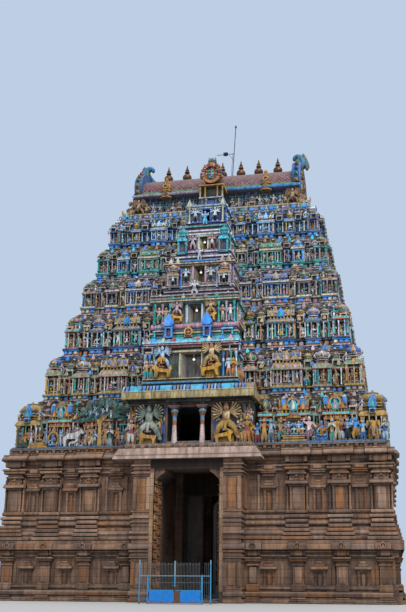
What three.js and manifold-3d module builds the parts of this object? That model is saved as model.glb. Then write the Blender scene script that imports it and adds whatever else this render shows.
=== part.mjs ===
// Gopuram, the gateway tower of a south-Indian temple: a two-storey stone base with a passage through
// it, six brick storeys that step inwards, and a barrel-roofed crown with seven finials.
// Millimetres. X runs along the front, the front looks towards -Y, +Z is up, and the origin is the
// centre of the passage floor at ground level.
import * as THREE from "three";
import { mergeVertices } from "three/addons/utils/BufferGeometryUtils.js";
import Module from "manifold-3d";

const wasm = await Module();
wasm.setup();

// Sizes of the stone base
const HALF_DEPTH = 10240; // from the centre to the face of the pilasters in the lower storey
const PASSAGE_HALF_WIDTH = 2900;
const PORTAL_HALF_WIDTH = 2200;
const PORTAL_OUTER_HALF_WIDTH = 3600;
const PORTAL_FRONT = HALF_DEPTH + 1000;
const PORTAL_BACK = HALF_DEPTH - 2200;
const FLANK_FRONT = HALF_DEPTH - 600; // plane where the flank meets the back of the portal
const LINTEL_UNDERSIDE = 8450;
const BASE_TOP = 9300;
const WALL_STONE = 1800; // thickness of the stone walls round the closed chamber in each flank
const CHAMBER_INNER_X = PASSAGE_HALF_WIDTH + WALL_STONE;
const CHAMBER_OUTER_X = 12600 - WALL_STONE;
const CHAMBER_HALF_DEPTH = FLANK_FRONT - WALL_STONE;
const FLOOR_THICKNESS = 120;
const THRESHOLD_FRONT = PORTAL_FRONT + 500;

// Courses of the flanks: bottom, top, half width and half depth of each
const PLINTH_TOP = 660;
const LOWER_COURSES = [
  [660, 1100, 13250, HALF_DEPTH + 50],
  [1100, 2800, 13100, HALF_DEPTH - 150],
  [2800, 3270, 13350, HALF_DEPTH],
  [3270, 3860, 13700, HALF_DEPTH + 350],
];
const UPPER_COURSES = [
  [3860, 4300, 13500, HALF_DEPTH + 100],
  [4300, 4700, 13350, HALF_DEPTH - 50],
  [4700, 5100, 13050, HALF_DEPTH - 300],
  [5100, 5450, 13200, HALF_DEPTH - 200],
  [5450, 5800, 13000, HALF_DEPTH - 350],
  [5800, 8300, 12750, HALF_DEPTH - 550],
  [8300, 8750, 12950, HALF_DEPTH - 350],
  [8750, 9300, 12850, HALF_DEPTH - 450],
];
const PILASTER_X = [7090, 9830, 12500];
const SIDE_PILASTER_Y = [-8600, -4300, 0, 4300, 8600];

// Sizes of the great cornice above the base, and of its eave over the portal
const CORNICE = { bottom: 9300, top: 9740, halfWidth: 13500, halfDepth: HALF_DEPTH + 50, inset: 350 };
const PORTAL_EAVE = { halfWidth: 4850, front: HALF_DEPTH + 1500 };
const FRIEZE = { top: 10100, halfWidth: 13100, halfDepth: HALF_DEPTH - 350 };
const BALCONY_FLOOR = { halfWidth: 4300, front: HALF_DEPTH + 1050 };

// The six storeys. rowX and rowY: outer face of the row of shrines. sill, head and doorX: the doorway.
// bayX and bayY: half width and front of the bay around it. inner, long and outer: centre and half width
// of the shrines between that bay and the corner. Depths are measured from the centre.
const depth = (fromFront) => HALF_DEPTH - fromFront;
const STOREYS = [
  { floor: 10100, rowX: 13000, rowY: depth(750), sill: 10200, head: 12750, doorX: 1500,
    bayX: 4200, bayY: depth(-450), inner: [4900, 450], long: [6950, 1000], outer: [9650, 550] },
  { floor: 13750, rowX: 11500, rowY: depth(1950), sill: 14250, head: 16530, doorX: 730,
    bayX: 3000, bayY: depth(-300), inner: [3700, 420], long: [6280, 1050], outer: [8720, 600] },
  { floor: 17350, rowX: 10600, rowY: depth(3050), sill: 18760, head: 20190, doorX: 490,
    bayX: 2900, bayY: depth(600), inner: [3420, 400], long: [5760, 1020], outer: [8080, 500] },
  { floor: 20850, rowX: 9800, rowY: depth(4100), sill: 22270, head: 23510, doorX: 400,
    bayX: 2400, bayY: depth(1900), inner: [2950, 400], long: [5300, 900], outer: [7390, 470] },
  { floor: 24000, rowX: 9050, rowY: depth(5100), sill: 25310, head: 26300, doorX: 290,
    bayX: 1950, bayY: depth(3150), inner: [2550, 400], long: [4820, 810], outer: [6880, 450] },
  { floor: 26850, rowX: 8400, rowY: depth(5950), sill: 27900, head: 28900, doorX: 280,
    bayX: 1450, bayY: depth(4000), inner: [2320, 400], long: [4320, 640], outer: [6210, 370] },
];
const TERRACE = { floor: 29600, rowX: 7850, rowY: depth(6650) };
const SLAB = 300; // thickness of each storey's floor slab
const SLAB_LIP = 300; // how far the slab stands out past the row of shrines above it
const BRICK = [1200, 1000, 900, 800, 700, 600]; // wall thickness of each storey
const PARAPET = 450; // height of the ledge that joins the shrines of a row

// Sizes of the balcony over the portal
const BALCONY = { columnX: 950, columnR: 190, front: depth(-800), beam: 200, head: 13050 };
const BALCONY_EAVE = { halfWidth: 4500, front: depth(-1500), bottom: BALCONY.head, fascia: 13550, top: 14050,
  inset: 350 };

// Sizes of the crown
const NECK = { bottom: 30300, top: 31900, halfWidth: 6700, halfDepth: depth(7700), wall: 450 };
const PLINTH_OF_NECK = { halfWidth: 7400, halfDepth: depth(6900) };
const EAVE = { top: 32200, halfWidth: 6900, halfDepth: depth(7100) };
const ROOF = { halfLength: 6250, halfDepth: depth(7400), ridge: 34350, shell: 250, segments: 14 };
const GABLE = { outer: 7000, halfDepth: 3250, top: 35000, hornTop: 36150 };
const NASI = { halfWidth: 1000, front: depth(5400), shrineTop: 32000, archTop: 33650, finialTop: 34230 };
const FINIAL_X = [-4770, -3130, -1600, 0, 1600, 3130, 4770];
const FINIAL_PROFILE = [
  [0, 0], [230, 0], [170, 90], [390, 560], [150, 940], [210, 1080], [90, 1300], [0, 1650],
];
const MAST = { x: 850, y: 420, lean: 0.058, side: 70, top: 39600, armHeight: 36850, armLength: 1500 };

// Sizes of the gate
const GATE = {
  y: -(HALF_DEPTH + 3600), halfWidth: 2240, leafWidth: 1640, clear: 12, post: 70, postTop: 2560,
  rail: 40, railTop: 1660, barTop: 2420, bar: 20, sheetTop: 780, sheetBottom: 80, sheet: 6, floorGap: 60,
};

// Painted and bare finishes, read from the photo
const FINISH = {
  granite: { color: 0x8d7464, roughness: 0.92, metalness: 0 },
  graniteGrey: { color: 0x96877c, roughness: 0.92, metalness: 0 },
  storey: [0x5f8fa3, 0x4f7f8a, 0x5a8a83, 0x8a8578, 0x6f8f7c, 0x3f63a0].map((color) =>
    ({ color, roughness: 0.75, metalness: 0 })),
  plaster: { color: 0xa99c86, roughness: 0.8, metalness: 0 },
  roof: { color: 0x8a4a52, roughness: 0.7, metalness: 0 },
  blue: { color: 0x2f7fc4, roughness: 0.65, metalness: 0 },
  bronze: { color: 0x5d4433, roughness: 0.45, metalness: 0.85 },
  column: { color: 0xd8b9ae, roughness: 0.6, metalness: 0 },
  steel: { color: 0x3d8fc0, roughness: 0.5, metalness: 0.6 },
  mast: { color: 0x3b3f46, roughness: 0.5, metalness: 0.8 },
};

// Solids
function toSolid(geometry) {
  const plain = geometry.clone();
  plain.deleteAttribute("normal");
  plain.deleteAttribute("uv");
  const welded = mergeVertices(plain, 1e-3);
  const index = welded.index ? welded.index.array : welded.attributes.position.array.map((_, i) => i);
  return new wasm.Manifold(new wasm.Mesh({
    numProp: 3,
    vertProperties: Float32Array.from(welded.attributes.position.array),
    triVerts: Uint32Array.from(index),
  }));
}

function block(x0, x1, y0, y1, z0, z1) {
  const geometry = new THREE.BoxGeometry(x1 - x0, y1 - y0, z1 - z0);
  geometry.translate((x0 + x1) / 2, (y0 + y1) / 2, (z0 + z1) / 2);
  return toSolid(geometry);
}

const centred = (halfX, halfY, z0, z1) => block(-halfX, halfX, -halfY, halfY, z0, z1);

const join = (solids) => solids.reduce((a, b) => a.add(b));

// A block whose top is drawn in by inX and inY
function tapered(x0, x1, y0, y1, z0, z1, inX, inY) {
  const geometry = new THREE.BoxGeometry(x1 - x0, y1 - y0, z1 - z0);
  geometry.translate((x0 + x1) / 2, (y0 + y1) / 2, (z0 + z1) / 2);
  const points = geometry.attributes.position;
  const middleX = (x0 + x1) / 2;
  const middleY = (y0 + y1) / 2;
  for (let i = 0; i < points.count; i += 1) {
    if (points.getZ(i) > (z0 + z1) / 2) {
      points.setX(i, points.getX(i) + (points.getX(i) > middleX ? -inX : inX));
      points.setY(i, points.getY(i) + (points.getY(i) > middleY ? -inY : inY));
    }
  }
  return toSolid(geometry);
}

// A prism along X from an outline of [y, z] points given anticlockwise seen from +X
function prismAlongX(outline, x0, x1) {
  const shape = new THREE.Shape(outline.map(([y, z]) => new THREE.Vector2(y, z)));
  const geometry = new THREE.ExtrudeGeometry(shape, { depth: x1 - x0, bevelEnabled: false });
  geometry.rotateY(Math.PI / 2);
  geometry.rotateX(Math.PI / 2);
  geometry.translate(x0, 0, 0);
  return toSolid(geometry);
}

// The same prism laid along Y from an outline of [x, z] points
function prismAlongY(outline, y0, y1) {
  return prismAlongX(outline.map(([x, z]) => [-x, z]), y0, y1).rotate([0, 0, 90]);
}

function turned(profile, x, y, z, sides) {
  const points = profile.map(([radius, height]) => new THREE.Vector2(radius, height));
  const geometry = new THREE.LatheGeometry(points, sides);
  geometry.rotateX(Math.PI / 2);
  geometry.translate(x, y, z);
  return toSolid(geometry);
}

// Outline of a horseshoe arch standing on its foot, as points across and up
function horseshoe(halfWidth, foot, footHalf, middle, top, segments) {
  const outline = [[footHalf, foot]];
  for (let i = 0; i <= segments; i += 1) {
    const angle = -0.4 + ((Math.PI + 0.8) * i) / segments;
    outline.push([Math.cos(angle) * halfWidth, middle + Math.sin(angle) * (top - middle)]);
  }
  outline.push([-footHalf, foot]);
  return outline;
}

const mirrorX = (solid) => solid.mirror([1, 0, 0]);
const mirrorY = (solid) => solid.mirror([0, 1, 0]);

// Meshes
const gopuram = new THREE.Group();
gopuram.name = "gopuram";

function addPart(name, solid, finish) {
  const mesh = solid.getMesh();
  const geometry = new THREE.BufferGeometry();
  geometry.setAttribute("position", new THREE.BufferAttribute(Float32Array.from(mesh.vertProperties), 3));
  geometry.setIndex(new THREE.BufferAttribute(Uint32Array.from(mesh.triVerts), 1));
  geometry.computeVertexNormals();
  const part = new THREE.Mesh(geometry, new THREE.MeshStandardMaterial({ ...finish }));
  part.name = name;
  gopuram.add(part);
}

// The stone base: two flanks, each a plinth and two storeys of walls round a closed chamber
function flankCourse([z0, z1, halfWidth, halfDepth]) {
  const wide = block(PORTAL_OUTER_HALF_WIDTH, halfWidth, -halfDepth, halfDepth, z0, z1);
  return wide.add(block(PASSAGE_HALF_WIDTH, PORTAL_OUTER_HALF_WIDTH, -FLANK_FRONT, FLANK_FRONT, z0, z1));
}

function chamber(z0, z1) {
  return block(CHAMBER_INNER_X, CHAMBER_OUTER_X, -CHAMBER_HALF_DEPTH, CHAMBER_HALF_DEPTH, z0, z1);
}

function flankPilasters(z0, z1, standOut, width, sideFace) {
  const front = PILASTER_X.flatMap((x) => [-1, 1].map((end) => block(
    x - width / 2, x + width / 2, end > 0 ? 0 : -standOut, end > 0 ? standOut : 0, z0, z1)));
  const side = SIDE_PILASTER_Y.map((y) => block(
    sideFace - 600, sideFace, y - width / 2, y + width / 2, z0, z1));
  return join([...front, ...side]);
}

const lowerFlank = join([
  ...LOWER_COURSES.map(flankCourse),
  flankPilasters(660, 3270, HALF_DEPTH + 60, 700, 13330),
]).subtract(chamber(0, 20000));
const upperFlank = join([
  ...UPPER_COURSES.map(flankCourse),
  flankPilasters(3860, 9300, HALF_DEPTH - 250, 900, 13050),
]).subtract(chamber(0, 20000));
const plinth = flankCourse([0, PLINTH_TOP, 13450, HALF_DEPTH + 250]);

addPart("left_plinth", mirrorX(plinth), FINISH.granite);
addPart("right_plinth", plinth, FINISH.granite);
addPart("left_lower_storey", mirrorX(lowerFlank), FINISH.granite);
addPart("right_lower_storey", lowerFlank, FINISH.granite);
addPart("left_upper_storey", mirrorX(upperFlank), FINISH.granite);
addPart("right_upper_storey", upperFlank, FINISH.granite);

// The passage: its floor, a portal at each end and a door frame inside
addPart("passage_floor", join([
  block(-PORTAL_HALF_WIDTH, PORTAL_HALF_WIDTH, -THRESHOLD_FRONT, THRESHOLD_FRONT, 0, FLOOR_THICKNESS),
  centred(PASSAGE_HALF_WIDTH, PORTAL_BACK, 0, FLOOR_THICKNESS),
]), FINISH.graniteGrey);

const portalJamb = join([
  block(PORTAL_HALF_WIDTH, PORTAL_OUTER_HALF_WIDTH, -PORTAL_FRONT, -FLANK_FRONT, 0, BASE_TOP),
  block(PORTAL_HALF_WIDTH, PASSAGE_HALF_WIDTH, -FLANK_FRONT, -PORTAL_BACK, 0, BASE_TOP),
]);
const corbel = prismAlongY(
  [[PORTAL_HALF_WIDTH, 7600], [PORTAL_HALF_WIDTH, LINTEL_UNDERSIDE], [1500, LINTEL_UNDERSIDE],
    [1500, 8250], [1850, 8000]].map(([x, z]) => [x, z]),
  -PORTAL_FRONT + 150, -PORTAL_BACK);
const portalLintel = block(
  -PORTAL_HALF_WIDTH, PORTAL_HALF_WIDTH, -PORTAL_FRONT, -PORTAL_BACK, LINTEL_UNDERSIDE, BASE_TOP);
const portal = join([portalJamb, mirrorX(portalJamb), corbel, mirrorX(corbel), portalLintel]);
addPart("front_portal", portal, FINISH.granite);
addPart("rear_portal", mirrorY(portal), FINISH.granite);

const INNER_FRAME = { front: -depth(7600), back: -depth(8600), halfOpening: 2150, head: 7500 };
addPart("inner_door_frame", block(
  -PASSAGE_HALF_WIDTH, PASSAGE_HALF_WIDTH, INNER_FRAME.front, INNER_FRAME.back, FLOOR_THICKNESS, BASE_TOP)
  .subtract(block(-INNER_FRAME.halfOpening, INNER_FRAME.halfOpening, -9000, 9000, -100, INNER_FRAME.head)),
FINISH.granite);

// The great cornice, with the frieze course and the balcony floor on top of it
const eaveOverPortal = (z0, z1, halfWidth, front, inX, inY) =>
  tapered(-halfWidth, halfWidth, -front, front, z0, z1, inX, inY);
addPart("great_cornice", join([
  tapered(-CORNICE.halfWidth, CORNICE.halfWidth, -CORNICE.halfDepth, CORNICE.halfDepth,
    CORNICE.bottom, CORNICE.top, CORNICE.inset, CORNICE.inset),
  eaveOverPortal(CORNICE.bottom - 0, CORNICE.top, PORTAL_EAVE.halfWidth, PORTAL_EAVE.front, 400, 400),
  centred(FRIEZE.halfWidth, FRIEZE.halfDepth, CORNICE.top, FRIEZE.top),
  centred(BALCONY_FLOOR.halfWidth, BALCONY_FLOOR.front, CORNICE.top, FRIEZE.top),
]), FINISH.graniteGrey);

// The storeys: a brick wall with a doorway in a bay at front and rear, a floor slab, and a row of shrines
const next = (i) => (i + 1 < STOREYS.length ? STOREYS[i + 1] : TERRACE);
const wallX = (i) => next(i).rowX + 100;
const wallY = (i) => next(i).rowY + 100;
const ceiling = (i) => next(i).floor - SLAB;

function doorway(storey) {
  return block(-storey.doorX, storey.doorX, -20000, 20000, storey.sill, storey.head);
}

STOREYS.forEach((storey, i) => {
  const bayTop = i === 0 ? BALCONY_EAVE.bottom : ceiling(i);
  const outer = centred(wallX(i), wallY(i), storey.floor, ceiling(i))
    .add(centred(storey.bayX, storey.bayY, storey.floor, bayTop));
  const room = centred(wallX(i) - BRICK[i], wallY(i) - BRICK[i], 0, 50000);
  addPart(`storey_${i + 1}_wall`, outer.subtract(room).subtract(doorway(storey)), FINISH.storey[i]);
});

// Slabs of storeys 2 to 6 and of the terrace, each with a tongue under the bay of its own storey
[...STOREYS.slice(1), TERRACE].forEach((storey, i) => {
  const bottom = storey.floor - SLAB;
  const slab = centred(storey.rowX + SLAB_LIP, storey.rowY + SLAB_LIP, bottom, storey.floor);
  const bay = storey.bayX ? storey : { bayX: NASI.halfWidth, bayY: NASI.front };
  const tongue = centred(bay.bayX + 250, bay.bayY + 250, bottom, storey.floor);
  const name = storey === TERRACE ? "terrace_slab" : `storey_${i + 2}_floor`;
  const clear = i === 0 ? centred(BALCONY_EAVE.halfWidth, 20000, 0, 50000).subtract(
    centred(20000, storey.rowY + SLAB_LIP, 0, 50000)) : null;
  addPart(name, clear ? slab.add(tongue).subtract(clear) : slab.add(tongue), FINISH.plaster);
});

// One shrine of a row: a pilastered body under a hipped or barrel-shaped roof
function kuta(x, y, halfX, halfY, z0, z1) {
  const eave = z0 + (z1 - z0) * 0.6;
  return join([
    block(x - halfX, x + halfX, y - halfY, y + halfY, z0, eave),
    tapered(x - halfX, x + halfX, y - halfY, y + halfY, eave, z1, halfX * 0.6, halfY * 0.6),
  ]);
}

function sala(x, y, halfX, halfY, z0, z1, along) {
  const eave = z0 + (z1 - z0) * 0.6;
  const across = along === "x" ? halfY : halfX;
  const arch = [];
  for (let i = 0; i <= 4; i += 1) {
    const angle = (Math.PI * i) / 4;
    arch.push([Math.cos(angle) * across, eave + Math.sin(angle) * (z1 - eave)]);
  }
  const roof = along === "x"
    ? prismAlongX(arch, x - halfX, x + halfX).translate([0, y, 0])
    : prismAlongY(arch, y - halfY, y + halfY).translate([x, 0, 0]);
  return block(x - halfX, x + halfX, y - halfY, y + halfY, z0, eave).add(roof);
}

// Shrines along a side face, as shares of the run from its middle to the corner shrine
const SIDE_LONG = { at: 0.64, half: 0.12 };
const SIDE_SMALL = { at: 0.34, half: 0.07 };
const SIDE_MIDDLE = { at: 0, half: 0.15 };

STOREYS.forEach((storey, i) => {
  const faceY = storey.rowY;
  const faceX = storey.rowX;
  const backY = wallY(i);
  const backX = wallX(i);
  const top = ceiling(i);
  const ledge = storey.floor + PARAPET;
  const ring = centred(faceX - 60, faceY - 60, storey.floor, ledge).subtract(
    centred(backX, backY, 0, 50000));
  const pieces = [ring];
  // corner shrines
  const cornerHalfX = (faceX - backX) * 0.5 + 250;
  const cornerHalfY = (faceY - backY) * 0.5 + 250;
  for (const sx of [-1, 1]) {
    for (const sy of [-1, 1]) {
      pieces.push(kuta(sx * (faceX - cornerHalfX), sy * (faceY - cornerHalfY),
        cornerHalfX, cornerHalfY, storey.floor, top));
    }
  }
  // shrines along the front and rear
  const middleY = (faceY + backY) / 2;
  const halfY = (faceY - backY) / 2;
  for (const sx of [-1, 1]) {
    for (const sy of [-1, 1]) {
      for (const [x, half] of [storey.inner, storey.outer]) {
        pieces.push(kuta(sx * x, sy * middleY, half, halfY, storey.floor, top));
      }
      const [x, half] = storey.long;
      pieces.push(sala(sx * x, sy * middleY, half, halfY, storey.floor, top, "x"));
    }
  }
  // shrines along the sides
  const middleX = (faceX + backX) / 2;
  const halfX = (faceX - backX) / 2;
  const run = faceY - 2 * cornerHalfY;
  for (const sx of [-1, 1]) {
    for (const sy of [-1, 1]) {
      pieces.push(sala(sx * middleX, sy * SIDE_LONG.at * run, halfX, SIDE_LONG.half * run,
        storey.floor, top, "y"));
      pieces.push(kuta(sx * middleX, sy * SIDE_SMALL.at * run, halfX, SIDE_SMALL.half * run,
        storey.floor, top));
    }
    pieces.push(sala(sx * middleX, 0, halfX, SIDE_MIDDLE.half * run, storey.floor, top, "y"));
  }
  // the row is interrupted by the bay of the wall, and the first row by the eave over the balcony
  const core = centred(backX, backY, 0, 50000).add(centred(storey.bayX, storey.bayY, 0, 50000));
  const { halfWidth, front, bottom, top: eaveTop } = BALCONY_EAVE;
  const eaveSpace = centred(halfWidth, front, bottom, eaveTop);
  const row = join(pieces).subtract(i === 0 ? core.add(eaveSpace) : core);
  for (const [side, x0, x1] of [["left", -20000, 0], ["right", 0, 20000]]) {
    addPart(`storey_${i + 1}_${side}_shrines`,
      row.intersect(block(x0, x1, -20000, 20000, 0, 50000)), FINISH.storey[i]);
  }
});

// The balcony over each portal: two columns on a sill under a beam, and a deep eave over them
function balconyFrame() {
  const { columnX, columnR, front, beam, head } = BALCONY;
  const width = columnX + 550;
  const columnProfile = [
    [0, 0], [columnR * 1.25, 0], [columnR * 1.25, 180], [columnR, 230], [columnR * 0.85, 1500],
    [columnR * 1.3, 1600], [columnR * 1.3, 1750], [columnR * 0.8, 1850], [columnR * 0.8, 2000],
    [columnR * 1.5, 2150], [columnR * 1.5, head - beam - FRIEZE.top - 130],
    [0, head - beam - FRIEZE.top - 130],
  ];
  return join([
    block(-width, width, -front - 150, -front + 150, FRIEZE.top, FRIEZE.top + 140),
    block(-width, width, -front - 150, -front + 150, head - beam, head),
    ...[-1, 1].map((side) => turned(columnProfile, side * columnX, -front, FRIEZE.top + 130, 8)),
  ]);
}
addPart("front_balcony_frame", balconyFrame(), FINISH.column);
addPart("rear_balcony_frame", mirrorY(balconyFrame()), FINISH.column);

function balconyEave() {
  const { halfWidth, front, bottom, fascia, top, inset } = BALCONY_EAVE;
  const { floor, rowY, bayX, bayY } = STOREYS[1];
  return join([
    block(-halfWidth, halfWidth, -front, -wallY(0), bottom, fascia),
    tapered(-halfWidth, halfWidth, -front, 2 * front - 2 * wallY(0) - front, fascia, top, inset, inset),
  ]).subtract(block(-20000, 20000, -wallY(0), 30000, 0, 50000))
    .subtract(block(-20000, 20000, -rowY - SLAB_LIP, 30000, floor - SLAB, 50000))
    .subtract(block(-bayX, bayX, -bayY, 30000, floor, 50000));
}
addPart("front_balcony_eave", balconyEave(), FINISH.plaster);
addPart("rear_balcony_eave", mirrorY(balconyEave()), FINISH.plaster);

// The crown: the neck on its plinth, the eave and barrel roof, gables and dormers
const neckRoom = centred(NECK.halfWidth - NECK.wall, NECK.halfDepth - NECK.wall, 0, 50000);
const neck = join([
  centred(PLINTH_OF_NECK.halfWidth, PLINTH_OF_NECK.halfDepth, TERRACE.floor, NECK.bottom),
  centred(NECK.halfWidth, NECK.halfDepth, NECK.bottom, NECK.top),
]).subtract(neckRoom);
addPart("neck_wall", neck, FINISH.storey[5]);

function barrel(halfDepth, ridge, springing, x0, x1) {
  const outline = [];
  for (let i = 0; i <= ROOF.segments; i += 1) {
    const angle = (Math.PI * (i + (i - ROOF.segments / 2) * 0)) / ROOF.segments;
    outline.push([Math.cos(angle) * halfDepth, springing + Math.sin(angle) * (ridge - springing)]);
  }
  const middle = ROOF.segments / 2;
  const flat = 180;
  outline.splice(middle, 1, [flat, ridge], [-flat, ridge]);
  return prismAlongX(outline, x0, x1);
}
const GAP = 0.4; // between the dormers and the slanting faces they meet
const roofOuter = barrel(ROOF.halfDepth, ROOF.ridge, EAVE.top, -ROOF.halfLength, ROOF.halfLength);
const roofInner = barrel(ROOF.halfDepth - ROOF.shell, ROOF.ridge - ROOF.shell, EAVE.top,
  -ROOF.halfLength, ROOF.halfLength);
const eaveSlab = (gap) => tapered(-EAVE.halfWidth - gap, EAVE.halfWidth + gap, -EAVE.halfDepth - gap,
  EAVE.halfDepth + gap, NECK.top, EAVE.top, 60, 60);
const eaveRing = eaveSlab(0).subtract(centred(ROOF.halfLength, ROOF.halfDepth - ROOF.shell, 0, 50000));
const gableSpace = centred(20000, 20000, EAVE.top, 50000).subtract(
  centred(ROOF.halfLength, 20000, 0, 60000));
addPart("barrel_roof", roofOuter.subtract(roofInner).add(eaveRing).subtract(gableSpace), FINISH.roof);

// A gable end: a horseshoe arch that stands above the barrel and carries an inward-curling horn
function gable() {
  const outline = horseshoe(GABLE.halfDepth * 0.95, EAVE.top, 2600, 33300, GABLE.top, 16);
  const disc = prismAlongX(outline, ROOF.halfLength, GABLE.outer);
  const horn = prismAlongY([
    [ROOF.halfLength + 50, GABLE.top - 300], [GABLE.outer - 50, GABLE.top - 300], [GABLE.outer - 50, 35500],
    [6600, 35900], [6300, GABLE.hornTop], [5950, GABLE.hornTop], [5850, 35850], [6150, 35700],
    [6250, 35400], [ROOF.halfLength + 20, 35200],
  ], -450, 450);
  return disc.add(horn);
}
addPart("left_gable", mirrorX(gable()), FINISH.blue);
addPart("right_gable", gable(), FINISH.blue);

function nasi() {
  const { halfWidth, front, shrineTop, archTop, finialTop } = NASI;
  const arch = horseshoe(halfWidth * 0.95, shrineTop - 50, 700, 32800, archTop, 12);
  return join([
    block(-halfWidth, halfWidth, -front, -NECK.halfDepth + 400, TERRACE.floor, shrineTop),
    prismAlongY(arch, -front, -1200),
    block(-280, 280, -front, -front + 400, archTop - 150, finialTop),
  ]).subtract(barrel(ROOF.halfDepth + GAP, ROOF.ridge + GAP, EAVE.top, -ROOF.halfLength, ROOF.halfLength))
    .subtract(centred(NECK.halfWidth, NECK.halfDepth, 0, NECK.top))
    .subtract(centred(PLINTH_OF_NECK.halfWidth, PLINTH_OF_NECK.halfDepth, 0, NECK.bottom))
    .subtract(eaveSlab(GAP));
}
addPart("front_nasi", nasi(), FINISH.storey[3]);
addPart("rear_nasi", mirrorY(nasi()), FINISH.storey[3]);

addPart("ridge_finials", join([
  block(-ROOF.halfLength, ROOF.halfLength, -170, 170, ROOF.ridge, ROOF.ridge + 120),
  ...FINIAL_X.map((x) => turned(FINIAL_PROFILE, x, 0, ROOF.ridge + 110, 8)),
]), FINISH.bronze);

// The lightning mast leans a little and holds a lamp on an arm; its foot is tied to the ridge
function mast() {
  const { x, side, top, lean, armHeight, armLength } = MAST;
  const foot = ROOF.ridge + 120;
  const slope = (z) => x + (z - foot) * lean;
  const pole = prismAlongY([
    [x + side / 2, foot], [slope(top) + side / 2, top], [slope(top) - side / 2, top], [x - side / 2, foot],
  ], -side / 2, side / 2);
  return join([
    pole,
    block(x - 110, x + 110, -110, 110, foot, foot + 60),
    block(slope(armHeight) - armLength, slope(armHeight), -20, 20, armHeight, armHeight + 50),
    block(slope(armHeight) - 900, slope(armHeight) - 560, -110, 110, armHeight - 90, armHeight + 110),
    block(slope(top) - 90, slope(top) + 90, -90, 90, top - 160, top),
  ]);
}
addPart("lightning_mast", mast(), FINISH.mast);

// The steel gate before the portal: a fixed frame with side panels, and two leaves
const { y: gateY, post, clear, leafWidth } = GATE;
const leafEdge = clear / 2 + leafWidth;
const hinge = { x: leafEdge + clear / 2, y: gateY + 60, lug: 30, pinR: 10, holeR: 11, heights: [300, 1440] };

function upright(x, y, radius, z0, z1) {
  const geometry = new THREE.CylinderGeometry(radius, radius, z1 - z0, 12);
  geometry.rotateX(Math.PI / 2);
  geometry.translate(x, y, (z0 + z1) / 2);
  return toSolid(geometry);
}

// A lug with a hole, welded to the post
const hingeLugs = () => hinge.heights.map((z) =>
  block(hinge.x - 22, hinge.x + 50, gateY + post / 2 - 2, hinge.y + 22, z, z + hinge.lug)
    .subtract(upright(hinge.x, hinge.y, hinge.holeR, z - 5, z + hinge.lug + 5)));

// An arm welded to the leaf, with the pin that stands in the lug
const hingeArms = () => hinge.heights.flatMap((z) => {
  const foot = z + hinge.lug + 1;
  return [
    block(leafEdge - 30, leafEdge, gateY + GATE.rail / 2 - 2, hinge.y + 15, foot, foot + 30),
    block(leafEdge - 30, hinge.x + 12, hinge.y - 14, hinge.y + 15, foot, foot + 30),
    upright(hinge.x, hinge.y, hinge.pinR, z + 2, foot + 10),
  ];
});

function bars(x0, x1, spacing, z0, z1) {
  const count = Math.round((x1 - x0) / spacing);
  const step = (x1 - x0) / count;
  return Array.from({ length: count - 1 }, (_, i) => block(
    x0 + step * (i + 1) - GATE.bar / 2, x0 + step * (i + 1) + GATE.bar / 2,
    gateY - GATE.bar / 2, gateY + GATE.bar / 2, z0, z1));
}

function gateSide() {
  const inner = leafEdge + clear;
  const outer = GATE.halfWidth;
  const stay = GATE.rail / 2;
  return [
    block(inner, inner + post, gateY - post / 2, gateY + post / 2, 0, GATE.railTop + 60),
    block(outer - post, outer, gateY - post / 2, gateY + post / 2, 0, GATE.postTop),
    block(inner + 10, outer - 10, gateY - stay, gateY + stay, GATE.railTop - 40, GATE.railTop),
    block(inner + 10, outer - 10, gateY - stay, gateY + stay, 120, 160),
    ...bars(inner + post, outer - post, 110, 130, GATE.barTop),
    block(outer - post + 10, outer - 10, gateY, -PORTAL_FRONT, 250, 290),
    ...hingeLugs(),
  ];
}
const leftSide = join(gateSide().map(mirrorX));
const rightSide = join(gateSide());
// a flat sill strip across the opening joins the two sides of the frame
addPart("gate_frame", join([leftSide, rightSide,
  block(-leafEdge - clear - 20, leafEdge + clear + 20, gateY - 60, gateY + 60, 0, 20)]), FINISH.steel);

function leaf() {
  const x0 = clear / 2;
  const x1 = leafEdge;
  const half = GATE.rail / 2;
  const z0 = GATE.floorGap;
  return join([
    block(x0, x0 + GATE.rail, gateY - half, gateY + half, z0, GATE.barTop + 100),
    block(x1 - GATE.rail, x1, gateY - half, gateY + half, z0, GATE.railTop),
    block(x0, x1, gateY - half, gateY + half, GATE.railTop - 40, GATE.railTop),
    block(x0, x1, gateY - half, gateY + half, GATE.sheetTop, GATE.sheetTop + 40),
    block(x0, x1, gateY - half, gateY + half, z0, z0 + 40),
    block(x0 + 5, x1 - 5, gateY - half, gateY - half + GATE.sheet, z0 + 5, GATE.sheetTop + 5),
    ...bars(x0 + GATE.rail, x1 - GATE.rail, 140, z0 + 10, GATE.barTop),
    ...hingeArms(),
  ]);
}
addPart("left_gate_leaf", mirrorX(leaf()), FINISH.steel);
addPart("right_gate_leaf", leaf(), FINISH.steel);

export default gopuram;
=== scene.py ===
# %% [markdown]
# # The gateway tower of a temple
# A gopuram stands over the passage into a south-Indian temple. Two storeys of granite carry six storeys
# of brick and lime plaster, painted in strong colours and crowded with small shrines and figures, and a
# barrel roof with copper finials closes it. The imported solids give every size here. This script gives the
# looks: small repeated forms are modelled once, as a stucco worker's moulds would be, and copied into rows.

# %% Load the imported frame
import math
import random
import bmesh
import bpy
import numpy as np
from mathutils import Matrix, Vector


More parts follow.
